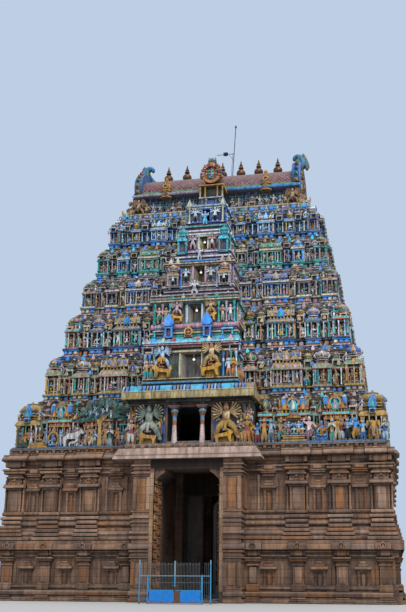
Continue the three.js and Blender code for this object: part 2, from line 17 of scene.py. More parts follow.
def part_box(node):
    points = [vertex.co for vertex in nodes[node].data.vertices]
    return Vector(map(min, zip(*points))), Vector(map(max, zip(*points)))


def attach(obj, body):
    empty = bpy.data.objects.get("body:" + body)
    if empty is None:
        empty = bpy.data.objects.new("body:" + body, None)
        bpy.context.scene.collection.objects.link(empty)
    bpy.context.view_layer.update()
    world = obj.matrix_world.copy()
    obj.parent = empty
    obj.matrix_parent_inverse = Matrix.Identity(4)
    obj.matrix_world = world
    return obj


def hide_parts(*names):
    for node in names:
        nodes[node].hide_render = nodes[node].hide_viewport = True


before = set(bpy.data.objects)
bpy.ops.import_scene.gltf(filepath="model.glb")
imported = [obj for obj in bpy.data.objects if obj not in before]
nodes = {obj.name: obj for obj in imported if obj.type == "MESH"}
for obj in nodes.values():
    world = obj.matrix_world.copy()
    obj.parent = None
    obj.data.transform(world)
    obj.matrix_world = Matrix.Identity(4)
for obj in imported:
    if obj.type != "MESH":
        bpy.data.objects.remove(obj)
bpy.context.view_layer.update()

scene = bpy.context.scene
scene.view_settings.view_transform = "Standard"

# %% [markdown]
# ## The camera
# The picture was taken from the street, to the right of the axis, with the lens tilted up by about 15
# degrees. Directions are easier to check than angles, so the camera's own axes are worked out first and
# put into its matrix. A small shift keeps the tower where the picture has it.

# %% Camera
eye = (13.0, -65.38, 1.6)
yaw, pitch, roll = 0.1858, 0.2608, 0.0048
focal_pixels, picture_height, sensor = 849.9, 612, 36
ahead = Vector((-math.sin(yaw) * math.cos(pitch), math.cos(yaw) * math.cos(pitch), math.sin(pitch)))
level = Vector((math.cos(yaw), math.sin(yaw), 0))
upward = level.cross(ahead)
right = math.cos(roll) * level + math.sin(roll) * upward
up = -math.sin(roll) * level + math.cos(roll) * upward
camera = bpy.data.objects.new("camera", bpy.data.cameras.new("camera"))
scene.collection.objects.link(camera)
turned = Matrix((right, up, -ahead)).transposed().to_4x4()
camera.matrix_world = Matrix.Translation(eye) @ turned
camera.data.lens = focal_pixels / picture_height * sensor
camera.data.shift_x, camera.data.shift_y = -27 / picture_height, 44 / picture_height
camera.data.clip_end = 1000
scene.camera = camera
print("lens in millimetres:", round(camera.data.lens, 2))

# %% [markdown]
# ## Colours
# The painters used some thirty distempers. They are named here once, as seen on the dusty tower. Every
# colour in this script is such a name or a display colour in hex, and one function turns it linear.

# %% Colours
PAINTS = dict(
    sky=0x2a92e0, cyan=0x45c8cf, teal=0x23a39b, sea=0x4e9a8c, mint=0x74ba96, green=0x5b9269, leaf=0x3f7f5f,
    cream=0xd9c9a0, ochre=0xc4963f, orange=0xc87c42, salmon=0xcb9280, pink=0xcfa9ac, rose=0xb87f8a,
    white=0xddd8cf, grey=0xa39b98, stone=0x9a8c80, slate=0x566f7c, ice=0xa9c6da, royal=0x27509a,
    blue=0x2f6cae, navy=0x223858, dark=0x14191c, deep=0x1d3a36, red=0xa8423a, brick=0x85432f,
    maroon=0x6f2f36, gold=0xd39a1c, lilac=0xaaa0b8, brown=0x765440, tan=0xb58c5c, sand=0xc0ab84,
    flesh=0xd2a384, lion=0xc98e1e, river=0x3b8db5)


def to_linear(colour):
    """A paint's name or a display colour such as 0x8d7464, as linear red, green, blue and alpha."""
    colour = PAINTS.get(colour, colour)
    parts = [(colour >> shift & 255) / 255 for shift in (16, 8, 0)]
    return tuple(c / 12.92 if c <= 0.04045 else ((c + 0.055) / 1.055) ** 2.4 for c in parts) + (1.0,)


print("paints:", len(PAINTS))

# %% [markdown]
# ## Light and floor
# An overcast evening lights the tower from all round, a little more from the upper left in front. A pale
# world gives the even part, and one very wide sun gives the direction, so that ledges shade what is below.

# %% Light and floor
world = bpy.data.worlds.new("studio")
scene.world = world
world.use_nodes = True
backdrop = world.node_tree.nodes["Background"]
backdrop.inputs["Color"].default_value = to_linear(0xc9dbf2)
backdrop.inputs["Strength"].default_value = 0.88
sun = bpy.data.objects.new("soft_sun", bpy.data.lights.new("soft_sun", "SUN"))
scene.collection.objects.link(sun)
sun.data.energy = 2.0
sun.data.angle = math.radians(35)
sun.data.color = (1.0, 0.95, 0.88)
sun.rotation_euler = (math.radians(48), 0, math.radians(30))
bpy.ops.mesh.primitive_plane_add(size=500, location=(0, 0, -0.002))
floor = bpy.context.object
floor.name = "floor"
floor_paint = bpy.data.materials.new("pale_floor")
floor_paint.use_nodes = True
floor_paint.node_tree.nodes["Principled BSDF"].inputs["Base Color"].default_value = to_linear(0xcfcac2)
floor_paint.node_tree.nodes["Principled BSDF"].inputs["Roughness"].default_value = 0.9
floor.data.materials.append(floor_paint)

# %% [markdown]
# ## Granite
# The base is coarse brown-grey granite, cut in blocks about half a metre high and laid almost dry. Rain
# has drawn dark streaks down it, hands and lamps have left orange-brown patches near the passage, and the
# grain shows as fine speckle. Joints come from a brick pattern whose width runs along x + y, so that one
# pattern serves the faces that look to the front and those that look to the side.

# %% Helpers for materials
def add_node(tree, kind, inputs=(), stops=(), **settings):
    """Adds a node, with its settings, its ramp of (place, colour) stops, and its inputs.

    Inputs are values, sockets or nodes, by name or number, or a list in the order of the sockets:
    a MapRange takes its value, then from low, from high, to low, to high.
    """
    made = tree.nodes.new("ShaderNode" + kind)
    for key, value in settings.items():
        setattr(made, key, value)
    for key, value in inputs.items() if isinstance(inputs, dict) else enumerate(inputs):
        if isinstance(value, bpy.types.Node):  # its first output that is in use
            value = next(socket for socket in value.outputs if socket.enabled)
        if isinstance(value, bpy.types.NodeSocket):
            tree.links.new(value, made.inputs[key])
        else:
            made.inputs[key].default_value = value
    for place, colour in stops:
        near = [e for e in made.color_ramp.elements if abs(e.position - place) < 1e-4]
        element = near[0] if near else made.color_ramp.elements.new(place)
        element.color = to_linear(colour)
    return made


def start_material(name):
    """A new material: its tree, its shader, and the Object coordinates that its patterns read."""
    material = bpy.data.materials.new(name)
    material.use_nodes = True
    tree = material.node_tree
    return material, tree, tree.nodes["Principled BSDF"], add_node(tree, "TexCoord").outputs["Object"]


MULTIPLIED = dict(data_type="RGBA", blend_type="MULTIPLY")


def dust_and_painted_shade(tree, colour, hollow=0.3, reach=0.5):
    """Painted shade: darker in hollows, by ambient occlusion, and on faces turned down under ledges; and pale
    dust on faces turned to the sky, which also paints them lighter as if lit from above.
    """
    place = add_node(tree, "TexCoord")
    # painted shade: hollows are drawn darker
    open_share = add_node(tree, "AmbientOcclusion", {"Distance": reach}, samples=4, only_local=True)
    hollow_shade = add_node(tree, "MapRange", [open_share.outputs["AO"], 0.3, 0.85, hollow, 1.0])
    # painted shade on faces turned down under ledges; pale dust and painted light on faces turned to the sky
    facing = add_node(tree, "SeparateXYZ", [place.outputs["Normal"]])
    shade_under_ledges = add_node(tree, "MapRange", [facing.outputs["Z"], -0.7, 0.0, 0.45, 1.0])
    sky = add_node(tree, "MapRange", [facing.outputs["Z"], 0.3, 0.9, 0.0, 0.35])
    dusted_and_lit_above = add_node(tree, "Mix", {0: sky, 6: colour, 7: to_linear(0xa89c8e)}, data_type="RGBA")
    shade = add_node(tree, "Math", [hollow_shade, shade_under_ledges], operation="MULTIPLY")
    return add_node(tree, "Mix", {0: 1.0, 6: dusted_and_lit_above, 7: shade}, **MULTIPLIED).outputs[2]

# %% Granite material
def granite(name, tint, warm, dark, joint_height=0.52, carved=False, shaded_passage=False):
    """Cut granite: tint is its common colour, warm its patches, dark its streaks."""
    material, tree, shader, place = start_material(name)
    patches = add_node(tree, "TexNoise", {"Vector": place, "Scale": 0.55, "Detail": 5.0, "Roughness": 0.6})
    colour = add_node(tree, "ValToRGB", [patches], [(0.0, dark), (0.36, dark), (0.47, tint), (0.58, tint),
                                                    (0.68, warm), (1.0, warm)])
    if carved:  # each stone brings its own tone as well
        own = add_node(tree, "Attribute", attribute_name="paint")
        colour = add_node(tree, "Mix", {0: 0.96, 6: colour, 7: own}, data_type="RGBA")
    # vertical streaks of soot and lichen: the noise is stretched eight times along z
    tall = add_node(tree, "Mapping", {"Vector": place, "Scale": (2.6, 2.6, 0.3)})
    streaks = add_node(tree, "TexNoise", {"Vector": tall, "Scale": 1.3, "Detail": 4.0})
    soot = add_node(tree, "MapRange", [streaks, 0.38, 0.62, 0.62, 1.08])
    # grain of 4 to 8 mm, drawn as coarse as 60 mm so that it shows from the street
    grain = add_node(tree, "TexNoise", {"Vector": place, "Scale": 16.0, "Detail": 3.0})
    speckle = add_node(tree, "MapRange", [grain, 0.3, 0.7, 0.78, 1.16])
    parts = add_node(tree, "SeparateXYZ", [place]).outputs
    along = add_node(tree, "Math", [parts["X"], parts["Y"]])
    wall = add_node(tree, "CombineXYZ", [along, parts["Z"]])
    blocks = add_node(tree, "TexBrick", {"Vector": wall, "Scale": 1.0, "Color1": (1, 1, 1, 1),
                                         "Color2": (0.82, 0.82, 0.84, 1), "Mortar": (0.35, 0.32, 0.3, 1),
                                         "Mortar Size": 0.012, "Mortar Smooth": 0.4, "Bias": -0.2,
                                         "Brick Width": 1.45, "Row Height": joint_height})
    # the lowest metres are drawn darker, down to the ground
    darker_below = add_node(tree, "MapRange", [parts["Z"], 1.5, 4.6, 0.7, 1.0])
    speckle_darker_below = add_node(tree, "Math", [speckle, darker_below], operation="MULTIPLY")
    shade = add_node(tree, "Math", [soot, speckle_darker_below], operation="MULTIPLY")
    toned = add_node(tree, "Mix", {0: 1.0, 6: colour, 7: blocks}, **MULTIPLIED)
    finished = add_node(tree, "Mix", {0: 1.0, 6: toned, 7: shade}, **MULTIPLIED)
    # painted shade in hollows and under ledges, and pale dust on top
    outcome = dust_and_painted_shade(tree, finished.outputs[2])
    if shaded_passage:  # painted shade in the passage: all inside its jambs, behind the front and rear edges, is drawn dark
        across = add_node(tree, "Math", [parts["X"]], operation="ABSOLUTE")
        deep = add_node(tree, "Math", [parts["Y"]], operation="ABSOLUTE")
        jamb = add_node(tree, "MapRange", [across, 2.22, 2.45, 0.16])
        edge = add_node(tree, "MapRange", [deep, 8.4, 9.6, 0.12, 0.85])
        darkening_factor = add_node(tree, "Math", [jamb, edge], operation="MAXIMUM")
        outcome = add_node(tree, "Mix", {0: 1.0, 6: outcome, 7: darkening_factor}, **MULTIPLIED).outputs[2]
    tree.links.new(outcome, shader.inputs["Base Color"])
    height = add_node(tree, "Math", [grain, blocks.outputs["Fac"]], operation="SUBTRACT")
    bump = add_node(tree, "Bump", {"Height": height, "Strength": 0.55, "Distance": 0.03})
    tree.links.new(bump.outputs[0], shader.inputs["Normal"])
    shader.inputs["Roughness"].default_value = 0.9
    return material


# painted shade: this granite is drawn dark inside the passage
passage_shaded_granite = granite("passage_shaded_granite", 0x95745f, 0xa4764f, 0x755c4d, shaded_passage=True)
grey_granite = granite("weathered_grey_granite", 0x948478, 0xa18a77, 0x71655c, 0.44)
floor_granite = granite("worn_floor_granite", 0x857b70, 0x94836f, 0x665d54, 0.9)
print("granite finishes made")

# %% [markdown]
# ## Painted lime plaster
# Brick and stucco are finished with lime plaster and bright distemper. Sun bleaches the paint in patches,
# dust settles on it, and rain washes soot down from every ledge. The base colour comes from an attribute
# named paint, which each small form carries face by face, or from bands by height on a plain wall.

# %% Painted plaster material
def painted_plaster(name, bands=(), low=0.0, high=1.0):
    """Distemper on lime plaster, coloured by the paint attribute or by bands between two heights."""
    material, tree, shader, place = start_material(name)
    parts = add_node(tree, "SeparateXYZ", [place]).outputs
    if bands:
        share = add_node(tree, "MapRange", [parts["Z"], low, high])
        colour = add_node(tree, "ValToRGB", [share], bands)
        colour.color_ramp.interpolation = "CONSTANT"
    else:
        colour = add_node(tree, "Attribute", attribute_name="paint")
    patches = add_node(tree, "TexNoise", {"Vector": place, "Scale": 0.9, "Detail": 4.0})
    dusty = add_node(tree, "MapRange", [patches, 0.45, 0.75, 0.06, 0.42])
    faded = add_node(tree, "Mix", {0: dusty, 6: colour, 7: to_linear(0xa39a8e)}, data_type="RGBA")
    tall = add_node(tree, "Mapping", {"Vector": place, "Scale": (3.4, 3.4, 0.7)})
    streaks = add_node(tree, "TexNoise", {"Vector": tall, "Scale": 1.7, "Detail": 4.0})
    soot = add_node(tree, "MapRange", [streaks, 0.36, 0.6, 0.5, 1.06])
    # chips and brush marks of a few millimetres, drawn at 90 mm so that they show from the street
    chips = add_node(tree, "TexNoise", {"Vector": place, "Scale": 11.0, "Detail": 3.0})
    flecks = add_node(tree, "MapRange", [chips, 0.32, 0.68, 1.75, 2.95])
    # the left half is drawn darker than the right
    half = add_node(tree, "MapRange", [parts["X"], -9.0, 9.0, 0.92, 1.06])
    darkening_factor = add_node(tree, "Math", [soot, half], operation="MULTIPLY")
    shade = add_node(tree, "Math", [darkening_factor, flecks], operation="MULTIPLY")
    # the upper storeys, up to the crown, are drawn lighter and bluer: partly paint bleached by the sun,
    # partly painted light, as they catch more of the sky; 0xaaaaaa leaves a paint as it is
    rise = add_node(tree, "MapRange", [parts["Z"], 12.0, 32.0])
    bleach_and_painted_light = add_node(tree, "ValToRGB", [rise], [(0.0, 0xa8aaae), (0.1, 0xa7adaf), (0.32, 0xc6ccd7),
                                                 (0.5, 0xa9afb9), (0.65, 0xaeb4c3), (0.8, 0xb6cae1),
                                                 (0.89, 0xb4c4da), (0.93, 0xaaaaaa), (1.0, 0xaaaaaa)])
    lit = add_node(tree, "Mix", {0: 1.0, 6: faded, 7: bleach_and_painted_light}, **MULTIPLIED)
    finished = add_node(tree, "Mix", {0: 1.0, 6: lit, 7: shade}, clamp_result=True, **MULTIPLIED)
    # painted shade in hollows and under ledges, and pale dust on top
    tree.links.new(dust_and_painted_shade(tree, finished.outputs[2], 0.25, 0.35), shader.inputs["Base Color"])
    bump = add_node(tree, "Bump", {"Height": chips, "Strength": 0.5, "Distance": 0.02})
    tree.links.new(bump.outputs[0], shader.inputs["Normal"])
    shader.inputs["Roughness"].default_value = 0.72
    return material


plaster = painted_plaster("painted_lime_plaster")


def coat(names, material):
    """Puts a finish on carried-over solids."""
    for name in names:
        nodes[name].data.materials.clear()
        nodes[name].data.materials.append(material)


flanks = [f"{side}_{part}" for side in ("left", "right") for part in ("plinth", "lower_storey",
                                                                      "upper_storey")]
# the granite solids, drawn dark inside the passage as painted shade
coat(flanks + ["front_portal", "rear_portal", "inner_door_frame"], passage_shaded_granite)
coat(["great_cornice"], grey_granite)
coat(["passage_floor"], floor_granite)
print("stone solids coated")

# %% [markdown]
# ## Moulds
# A stucco worker keeps moulds and fills a row with casts of them. Here a mould is a small mesh in a box
# one unit wide, deep and high, facing -Y. Each is built in edit mode from primitives that are extruded
# and drawn in ring by ring. Every face gets a role number, and a cast turns roles into paint.

# %% Helpers for moulds
# DARK is the role of recesses, the cells of the shrines and the sunk rings of their necks, mostly painted
# near black as painted shade
BASE, POST, DARK, EAVE, ROOF, TRIM, INSET, FINIAL = range(8)
SIDES = (-1, 1)  # left and right
moulds = {}


def begin(name):
    """Starts a mould: an empty mesh in edit mode."""
    bpy.ops.object.select_all(action="DESELECT")
    made = bpy.data.objects.new(name, bpy.data.meshes.new(name))
    scene.collection.objects.link(made)
    bpy.context.view_layer.objects.active = made
    made.select_set(True)
    bpy.ops.object.mode_set(mode="EDIT")


def mark(role):
    """Gives the selected faces a role."""
    mesh = bmesh.from_edit_mesh(bpy.context.edit_object.data)
    for face in mesh.faces:
        if face.select:
            face.material_index = role


def mark_sides(role):
    """Gives a role to the ring of faces that was just drawn up, beside the selected face."""
    mesh = bmesh.from_edit_mesh(bpy.context.edit_object.data)
    for face in [f for f in mesh.faces if f.select]:
        for other in {f for edge in face.edges for f in edge.link_faces if not f.select}:
            other.material_index = role


def disc(place, sides, rotation, size, role=BASE):
    """A flat face with any number of sides, stretched about its middle."""
    bpy.ops.mesh.primitive_circle_add(vertices=sides, radius=1, fill_type="NGON", location=place,
                                      rotation=rotation)
    bpy.ops.transform.resize(value=size, center_override=place)
    mark(role)


def draw_out(move):
    """Extrudes the selected face by a distance along each axis."""
    bpy.ops.mesh.extrude_region_move(TRANSFORM_OT_translate={"value": move})


def stack(x, y, rings, role=BASE, sides=4, turn=0.0):
    """A closed form drawn up through rings of (height, half width, half depth).

    A square or round ring leaves out its half depth. A role number between two rings is the role of
    the faces from there on.
    """
    last = None
    for ring in rings:
        if isinstance(ring, int):
            role = ring
            continue
        z, wide, deep = (*ring, ring[1])[:3]
        if last:
            draw_out((0, 0, z - last[0]))
            bpy.ops.transform.resize(value=(wide / last[1], deep / last[2], 1), center_override=(x, y, z))
            mark_sides(role)
        elif sides == 4:
            bpy.ops.mesh.primitive_plane_add(size=2, location=(x, y, z))
            bpy.ops.transform.resize(value=(wide, deep, 1), center_override=(x, y, z))
            mark(role)
        else:
            disc((x, y, z), sides, (0, 0, turn), (wide, deep, 1), role)
        last = z, wide, deep
    mark(role)


def box(x0, x1, y0, y1, z0, z1, role=BASE):
    """A plain block between two corners."""
    middle = ((x0 + x1) / 2, (y0 + y1) / 2, (z0 + z1) / 2)
    bpy.ops.mesh.primitive_cube_add(size=1, location=middle)
    bpy.ops.transform.resize(value=(x1 - x0, y1 - y0, z1 - z0), center_override=middle)
    mark(role)


def horseshoe(x, y, z, wide, high, deep, sides=10, inner=0.58):
    """A dormer arch: a thick disc with a sunk middle, and a leaf-shaped tip over it."""
    disc((x, y, z), sides, (math.pi / 2, 0, 0), (wide, 1, high), TRIM)
    draw_out((0, -deep, 0))
    for size, role in ((0.8, TRIM), (inner / 0.8, FINIAL)):  # the outer ring, and a painted inner one
        draw_out((0, 0, 0))
        bpy.ops.transform.resize(value=(size, size, size), center_override=(x, y - deep, z))
        mark_sides(role)
    draw_out((0, 0.6 * deep, 0))
    mark_sides(INSET)
    mark(INSET)
    tip = z + high * 0.9
    stack(x, y - deep * 0.5, [(tip, wide * 0.3, deep * 0.5), (tip + high * 0.25, wide * 0.22, deep * 0.4),
                              (tip + high * 0.6, deep * 0.1)], TRIM)


def keep():
    """Ends a mould: welds its seams, turns all faces outwards and puts it away, out of the scene."""
    made = bpy.context.edit_object
    bpy.ops.mesh.select_all(action="SELECT")
    bpy.ops.mesh.remove_doubles(threshold=1e-5)
    bpy.ops.mesh.normals_make_consistent(inside=False)
    bpy.ops.object.mode_set(mode="OBJECT")
    scene.collection.objects.unlink(made)
    moulds[made.name] = made.data
    print("mould", made.name, "faces:", len(made.data.polygons), "size:",
          [round(v, 2) for v in made.dimensions])


def stacked(name, rings, role=BASE, sides=4):
    """A mould that is one stack."""
    begin(name)
    stack(0, 0, rings, role, sides)
    keep()

# %% [markdown]
# ## Casts and pieces
# A cast is a copy of a mould, stretched to its place and painted. Its paint is one colour, or a line of
# names in the order of the roles: base, posts, ground, eave, roof, trim, inner face of the dormers,
# finials. All casts of one part of the tower are joined into one piece, which rides on a body of the frame
# and stands for the plain solids there.

# %% Helpers for casts
casts = []
chance = random.Random(3)


def one_of(names):
    """One name out of a line of them."""
    return chance.choice(names.split())


def lay_paint(mesh, colours, vary):
    """Turns each face's role into its colour, a little lighter or darker from cast to cast."""
    if isinstance(colours, int):
        colours = {BASE: colours}
    elif isinstance(colours, str):
        colours = dict(enumerate(colours.split()))
    count = len(mesh.polygons)
    roles = np.empty(count, np.int32)
    corners = np.empty(count, np.int32)
    mesh.polygons.foreach_get("material_index", roles)
    mesh.polygons.foreach_get("loop_total", corners)
    table = np.ones((int(roles.max()) + 1, 4), np.float32)
    whole = 1 + chance.uniform(-vary, vary)
    for role in range(len(table)):  # a role without a colour of its own takes the first one
        colour = to_linear(colours.get(role, next(iter(colours.values()))))
        shade = whole * (1 + chance.uniform(-vary, vary))
        table[role, :3] = [min(1.0, c * shade) for c in colour[:3]]
    paint = mesh.color_attributes.new(name="paint", type="FLOAT_COLOR", domain="CORNER")
    paint.data.foreach_set("color", np.repeat(table[roles], corners, axis=0).ravel())
    mesh.polygons.foreach_set("material_index", np.zeros(count, np.int32))


def place_cast(mould, matrix, colours, vary=0.07, flip=False):
    """A cast set by a matrix; flip turns its faces back after a mirroring one."""
    mesh = moulds[mould].copy()
    mesh.transform(matrix)
    if flip:
        mesh.flip_normals()
    lay_paint(mesh, colours, vary)
    made = bpy.data.objects.new(mould, mesh)
    scene.collection.objects.link(made)
    casts.append(made)


def cast(mould, corner, far_corner, colours, turn=0.0, flip=False, vary=0.07):
    """Fills the box between two corners with a cast of a mould, turned about the upright first."""
    low, high = [[choose(pair) for pair in zip(corner, far_corner)] for choose in (min, max)]
    wide, deep, tall = [b - a for a, b in zip(low, high)]
    if round(turn / (math.pi / 2)) % 2:
        wide, deep = deep, wide
    middle = Vector(((low[0] + high[0]) / 2, (low[1] + high[1]) / 2, low[2]))
    place_cast(mould, Matrix.Translation(middle) @ Matrix.Rotation(turn, 4, "Z")
               @ Matrix.Diagonal((-wide if flip else wide, deep, tall, 1)), colours, vary, flip)


def stand(mould, x, y, z, wide, deep, high, colours, turn=0.0, flip=False, vary=0.07):
    """A cast standing on a point, with its width and depth along X and Y after the turn."""
    cast(mould, (x - wide / 2, y - deep / 2, z), (x + wide / 2, y + deep / 2, z + high), colours, turn, flip,
         vary)


def fasten(piece, solids=(), body="tower", material=plaster):
    """Finishes a piece: its paint, its shading, the body that carries it and the solids it stands for."""
    piece.data.materials.clear()
    piece.data.materials.append(material)
    bpy.ops.object.select_all(action="DESELECT")
    bpy.context.view_layer.objects.active = piece
    piece.select_set(True)
    bpy.ops.object.shade_smooth_by_angle(angle=math.radians(38))
    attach(piece, body)
    if solids:
        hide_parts(*solids)
    print("piece", piece.name, "triangles:", sum(len(p.vertices) - 2 for p in piece.data.polygons))


def gather(name, solids=(), body="tower", material=plaster):
    """Joins all casts made so far into one piece."""
    bpy.ops.object.select_all(action="DESELECT")
    for made in casts:
        made.select_set(True)
    bpy.context.view_layer.objects.active = casts[0]
    bpy.ops.object.join()
    piece = bpy.context.object
    piece.name = piece.data.name = name
    casts.clear()
    fasten(piece, solids, body, material)
    return piece


def opposite(piece, name, solids=()):
    """The same piece on the far side of the tower, turned half round."""
    made = bpy.data.objects.new(name, piece.data.copy())
    made.data.name = name
    made.data.transform(Matrix.Rotation(math.pi, 4, "Z"))
    scene.collection.objects.link(made)
    fasten(made, solids, material=piece.data.materials[0])


def pair(name, slot, solid="", material=plaster, ends=("front", "rear")):
    """Gathers the casts into a piece and repeats it opposite; each may stand for a solid of its end."""
    solids = [[solid.format(end)] if solid else () for end in ends]
    piece = gather(name.format(ends[0]), solids[0], material=material)
    opposite(piece, name.format(ends[1]), solids[1])


def turn_casts():
    """Turns all casts made so far from the front to the right-hand side."""
    for made in casts:
        made.data.transform(Matrix.Rotation(math.pi / 2, 4, "Z"))


def slanted(place, axis, angle, size, lift=0.0):
    """The matrix of a cast that leans by an angle about an axis, at a place, lifted along its own height."""
    return (Matrix.Translation(place) @ Matrix.Rotation(angle, 4, axis) @ Matrix.Translation((0, 0, lift))
            @ Matrix.Diagonal((*size, 1)))

# %% [markdown]
# ## Moulds for courses, posts and shrines
# A row needs straight courses (plain, rounded and flared), small blocks, posts, and the two kinds of model
# shrine: the square kuta with a dome, and the oblong sala with a barrel roof. All keep to a unit box, so
# one cast can be stretched to any length. Courses keep their full width up to the ends for that reason.

# %% Courses, blocks and posts
stacked("course", [(0, 0.5, 0.44), (0.18, 0.5), (0.7, 0.5), TRIM, (0.84, 0.5), (1, 0.5, 0.44)])
stacked("roll", [(0, 0.5, 0.4), (0.2, 0.5, 0.48), (0.5, 0.5), (0.8, 0.5, 0.48), (1, 0.5, 0.4)])
# an eave: a painted lip, a rounded back and a fillet on top
stacked("flare", [(0, 0.5, 0.46), TRIM, (0.05, 0.5), (0.2, 0.5), EAVE, (0.22, 0.5, 0.47), (0.42, 0.5, 0.44),
                  (0.64, 0.5, 0.37), (0.8, 0.5, 0.27), TRIM, (0.82, 0.5, 0.3), (1, 0.5, 0.3)], TRIM)
stacked("block", [(0, 0.44), (0.12, 0.5), (0.88, 0.5), (1, 0.44)])
stacked("post", [(0, 0.5), (0.09, 0.5), (0.11, 0.36), (0.6, 0.32), TRIM, (0.66, 0.46), (0.72, 0.3), POST,
                 (0.8, 0.3), (0.88, 0.5), (1, 0.5)], POST, sides=6)
stacked("finial", [(0, 0.3), (0.1, 0.24), (0.3, 0.5), (0.5, 0.38), (0.6, 0.16), (0.7, 0.24), (1, 0.03)],
        FINIAL, 6)
# the pointed antefix that stands on eaves
stacked("leaf", [(0, 0.3), (0.16, 0.5, 0.42), (0.42, 0.42, 0.34), (0.72, 0.2), (1, 0.03)], TRIM)
begin("arch")  # a dormer arch on its own foot, with a small figure before it
horseshoe(0, 0.1, 0.42, 0.46, 0.36, 0.5, inner=0.66)
box(-0.42, 0.42, -0.3, 0.4, 0, 0.14, TRIM)
stack(0, -0.28, [(0.12, 0.12, 0.1), (0.2, 0.2, 0.12), (0.3, 0.1, 0.08), (0.48, 0.17, 0.1), (0.52, 0.05),
                 (0.58, 0.09), (0.64, 0.06), (0.7, 0.01)], sides=6)
keep()

# %% Square shrine
begin("kuta")
stack(0, 0.02, [(0, 0.46, 0.44), (0.025, 0.46, 0.44), (0.035, 0.4), (0.055, 0.4), TRIM, (0.06, 0.45, 0.43),
                (0.08, 0.45, 0.43)])
# the cell behind the posts, in the DARK role: painted shade
box(-0.32, 0.32, -0.2, 0.44, 0.07, 0.47, DARK)
for x in (-0.38, 0.38):
    for y in (-0.38, 0.38):
        stack(x, y, [(0.08, 0.075), (0.11, 0.075), (0.12, 0.052), (0.34, 0.048), TRIM, (0.37, 0.075),
                     (0.4, 0.05), POST, (0.47, 0.085)], POST)
stack(0, 0, [(0.455, 0.42), TRIM, (0.465, 0.5), (0.49, 0.5), EAVE, (0.5, 0.48), (0.54, 0.45), (0.575, 0.38),
             (0.59, 0.31), TRIM, (0.6, 0.35), (0.615, 0.35), DARK, (0.62, 0.3), (0.66, 0.3)], EAVE)
stack(0, 0, [(0.645, 0.36), TRIM, (0.655, 0.44), (0.675, 0.44), DARK, (0.685, 0.36), (0.7, 0.36), EAVE,
             (0.71, 0.41), (0.735, 0.41), ROOF, (0.745, 0.33), (0.775, 0.39), (0.81, 0.42), (0.85, 0.41),
             (0.89, 0.33), (0.92, 0.2), TRIM, (0.928, 0.23), (0.94, 0.2), ROOF, (0.95, 0.08)], ROOF, sides=12,
             turn=math.pi / 12)
stack(0, 0, [(0.93, 0.05), (0.955, 0.07), (1, 0.01)], FINIAL, sides=6)
for x, y in ((0, -1), (-1, 0), (1, 0)):  # leaf-shaped dormers on the dome
    stack(0.33 * x, 0.33 * y, [(0.735, 0.1), (0.77, 0.15), (0.82, 0.15), (0.87, 0.08), (0.91, 0.015)], INSET,
          6)
    stack(0.42 * x, 0.42 * y, [(0.76, 0.05), (0.785, 0.09), (0.82, 0.08), (0.85, 0.02)], FINIAL)
stack(0, -0.46, [(0.5, 0.07, 0.04), (0.53, 0.09, 0.04), (0.56, 0.06, 0.03), (0.59, 0.01)], FINIAL)
keep()

# %% Oblong shrine
def barrel(x0, x1, z, deep, high, role=ROOF, sides=12):
    """A barrel roof along X: a full round, whose lower half sinks into the eave."""
    disc((x0, 0, z), sides, (0, math.pi / 2, 0), (1, deep, high), role)
    draw_out((x1 - x0, 0, 0))


begin("sala")
stack(0, 0.02, [(0, 0.48, 0.44), (0.025, 0.48, 0.44), (0.035, 0.46, 0.4), (0.055, 0.46, 0.4), TRIM,
                (0.06, 0.49, 0.43), (0.08, 0.49, 0.43)])
# the cell behind the posts, in the DARK role: painted shade
box(-0.43, 0.43, -0.18, 0.44, 0.07, 0.47, DARK)
for x in (-0.455, -0.2, 0.2, 0.455):
    stack(x, -0.36, [(0.08, 0.036, 0.08), (0.11, 0.036, 0.08), (0.12, 0.026, 0.055), (0.34, 0.024, 0.05),
                     TRIM, (0.37, 0.038, 0.08), (0.4, 0.026, 0.05), POST, (0.47, 0.042, 0.09)], POST)
stack(0, 0, [(0.455, 0.47, 0.42), TRIM, (0.465, 0.5), (0.49, 0.5), EAVE, (0.5, 0.49, 0.48),
             (0.54, 0.485, 0.45), (0.58, 0.47, 0.37), TRIM, (0.6, 0.465, 0.38), (0.62, 0.46, 0.38), DARK,
             (0.63, 0.44, 0.34), (0.66, 0.44, 0.34)], EAVE)
for x in (-0.36, -0.24, -0.12, 0, 0.12, 0.24, 0.36):  # dwarf posts in the neck
    box(x - 0.022, x + 0.022, -0.4, -0.3, 0.62, 0.7, FINIAL)
stack(0, 0, [(0.69, 0.44, 0.36), TRIM, (0.7, 0.485, 0.44), (0.72, 0.485, 0.44), EAVE, (0.725, 0.48, 0.41),
             (0.76, 0.47, 0.36), (0.775, 0.45, 0.3), TRIM, (0.78, 0.46, 0.34), (0.8, 0.46, 0.34)], EAVE)
barrel(-0.44, 0.44, 0.8, 0.33, 0.12)
for end in SIDES:
    barrel(end * 0.44, end * 0.48, 0.8, 0.38, 0.145, TRIM)
box(-0.44, 0.44, -0.05, 0.05, 0.9, 0.935, TRIM)
for x in (-0.36, -0.18, 0, 0.18, 0.36):
    stack(x, 0, [(0.92, 0.02, 0.05), (0.95, 0.03, 0.07), (1, 0.006, 0.01)], FINIAL, sides=6)
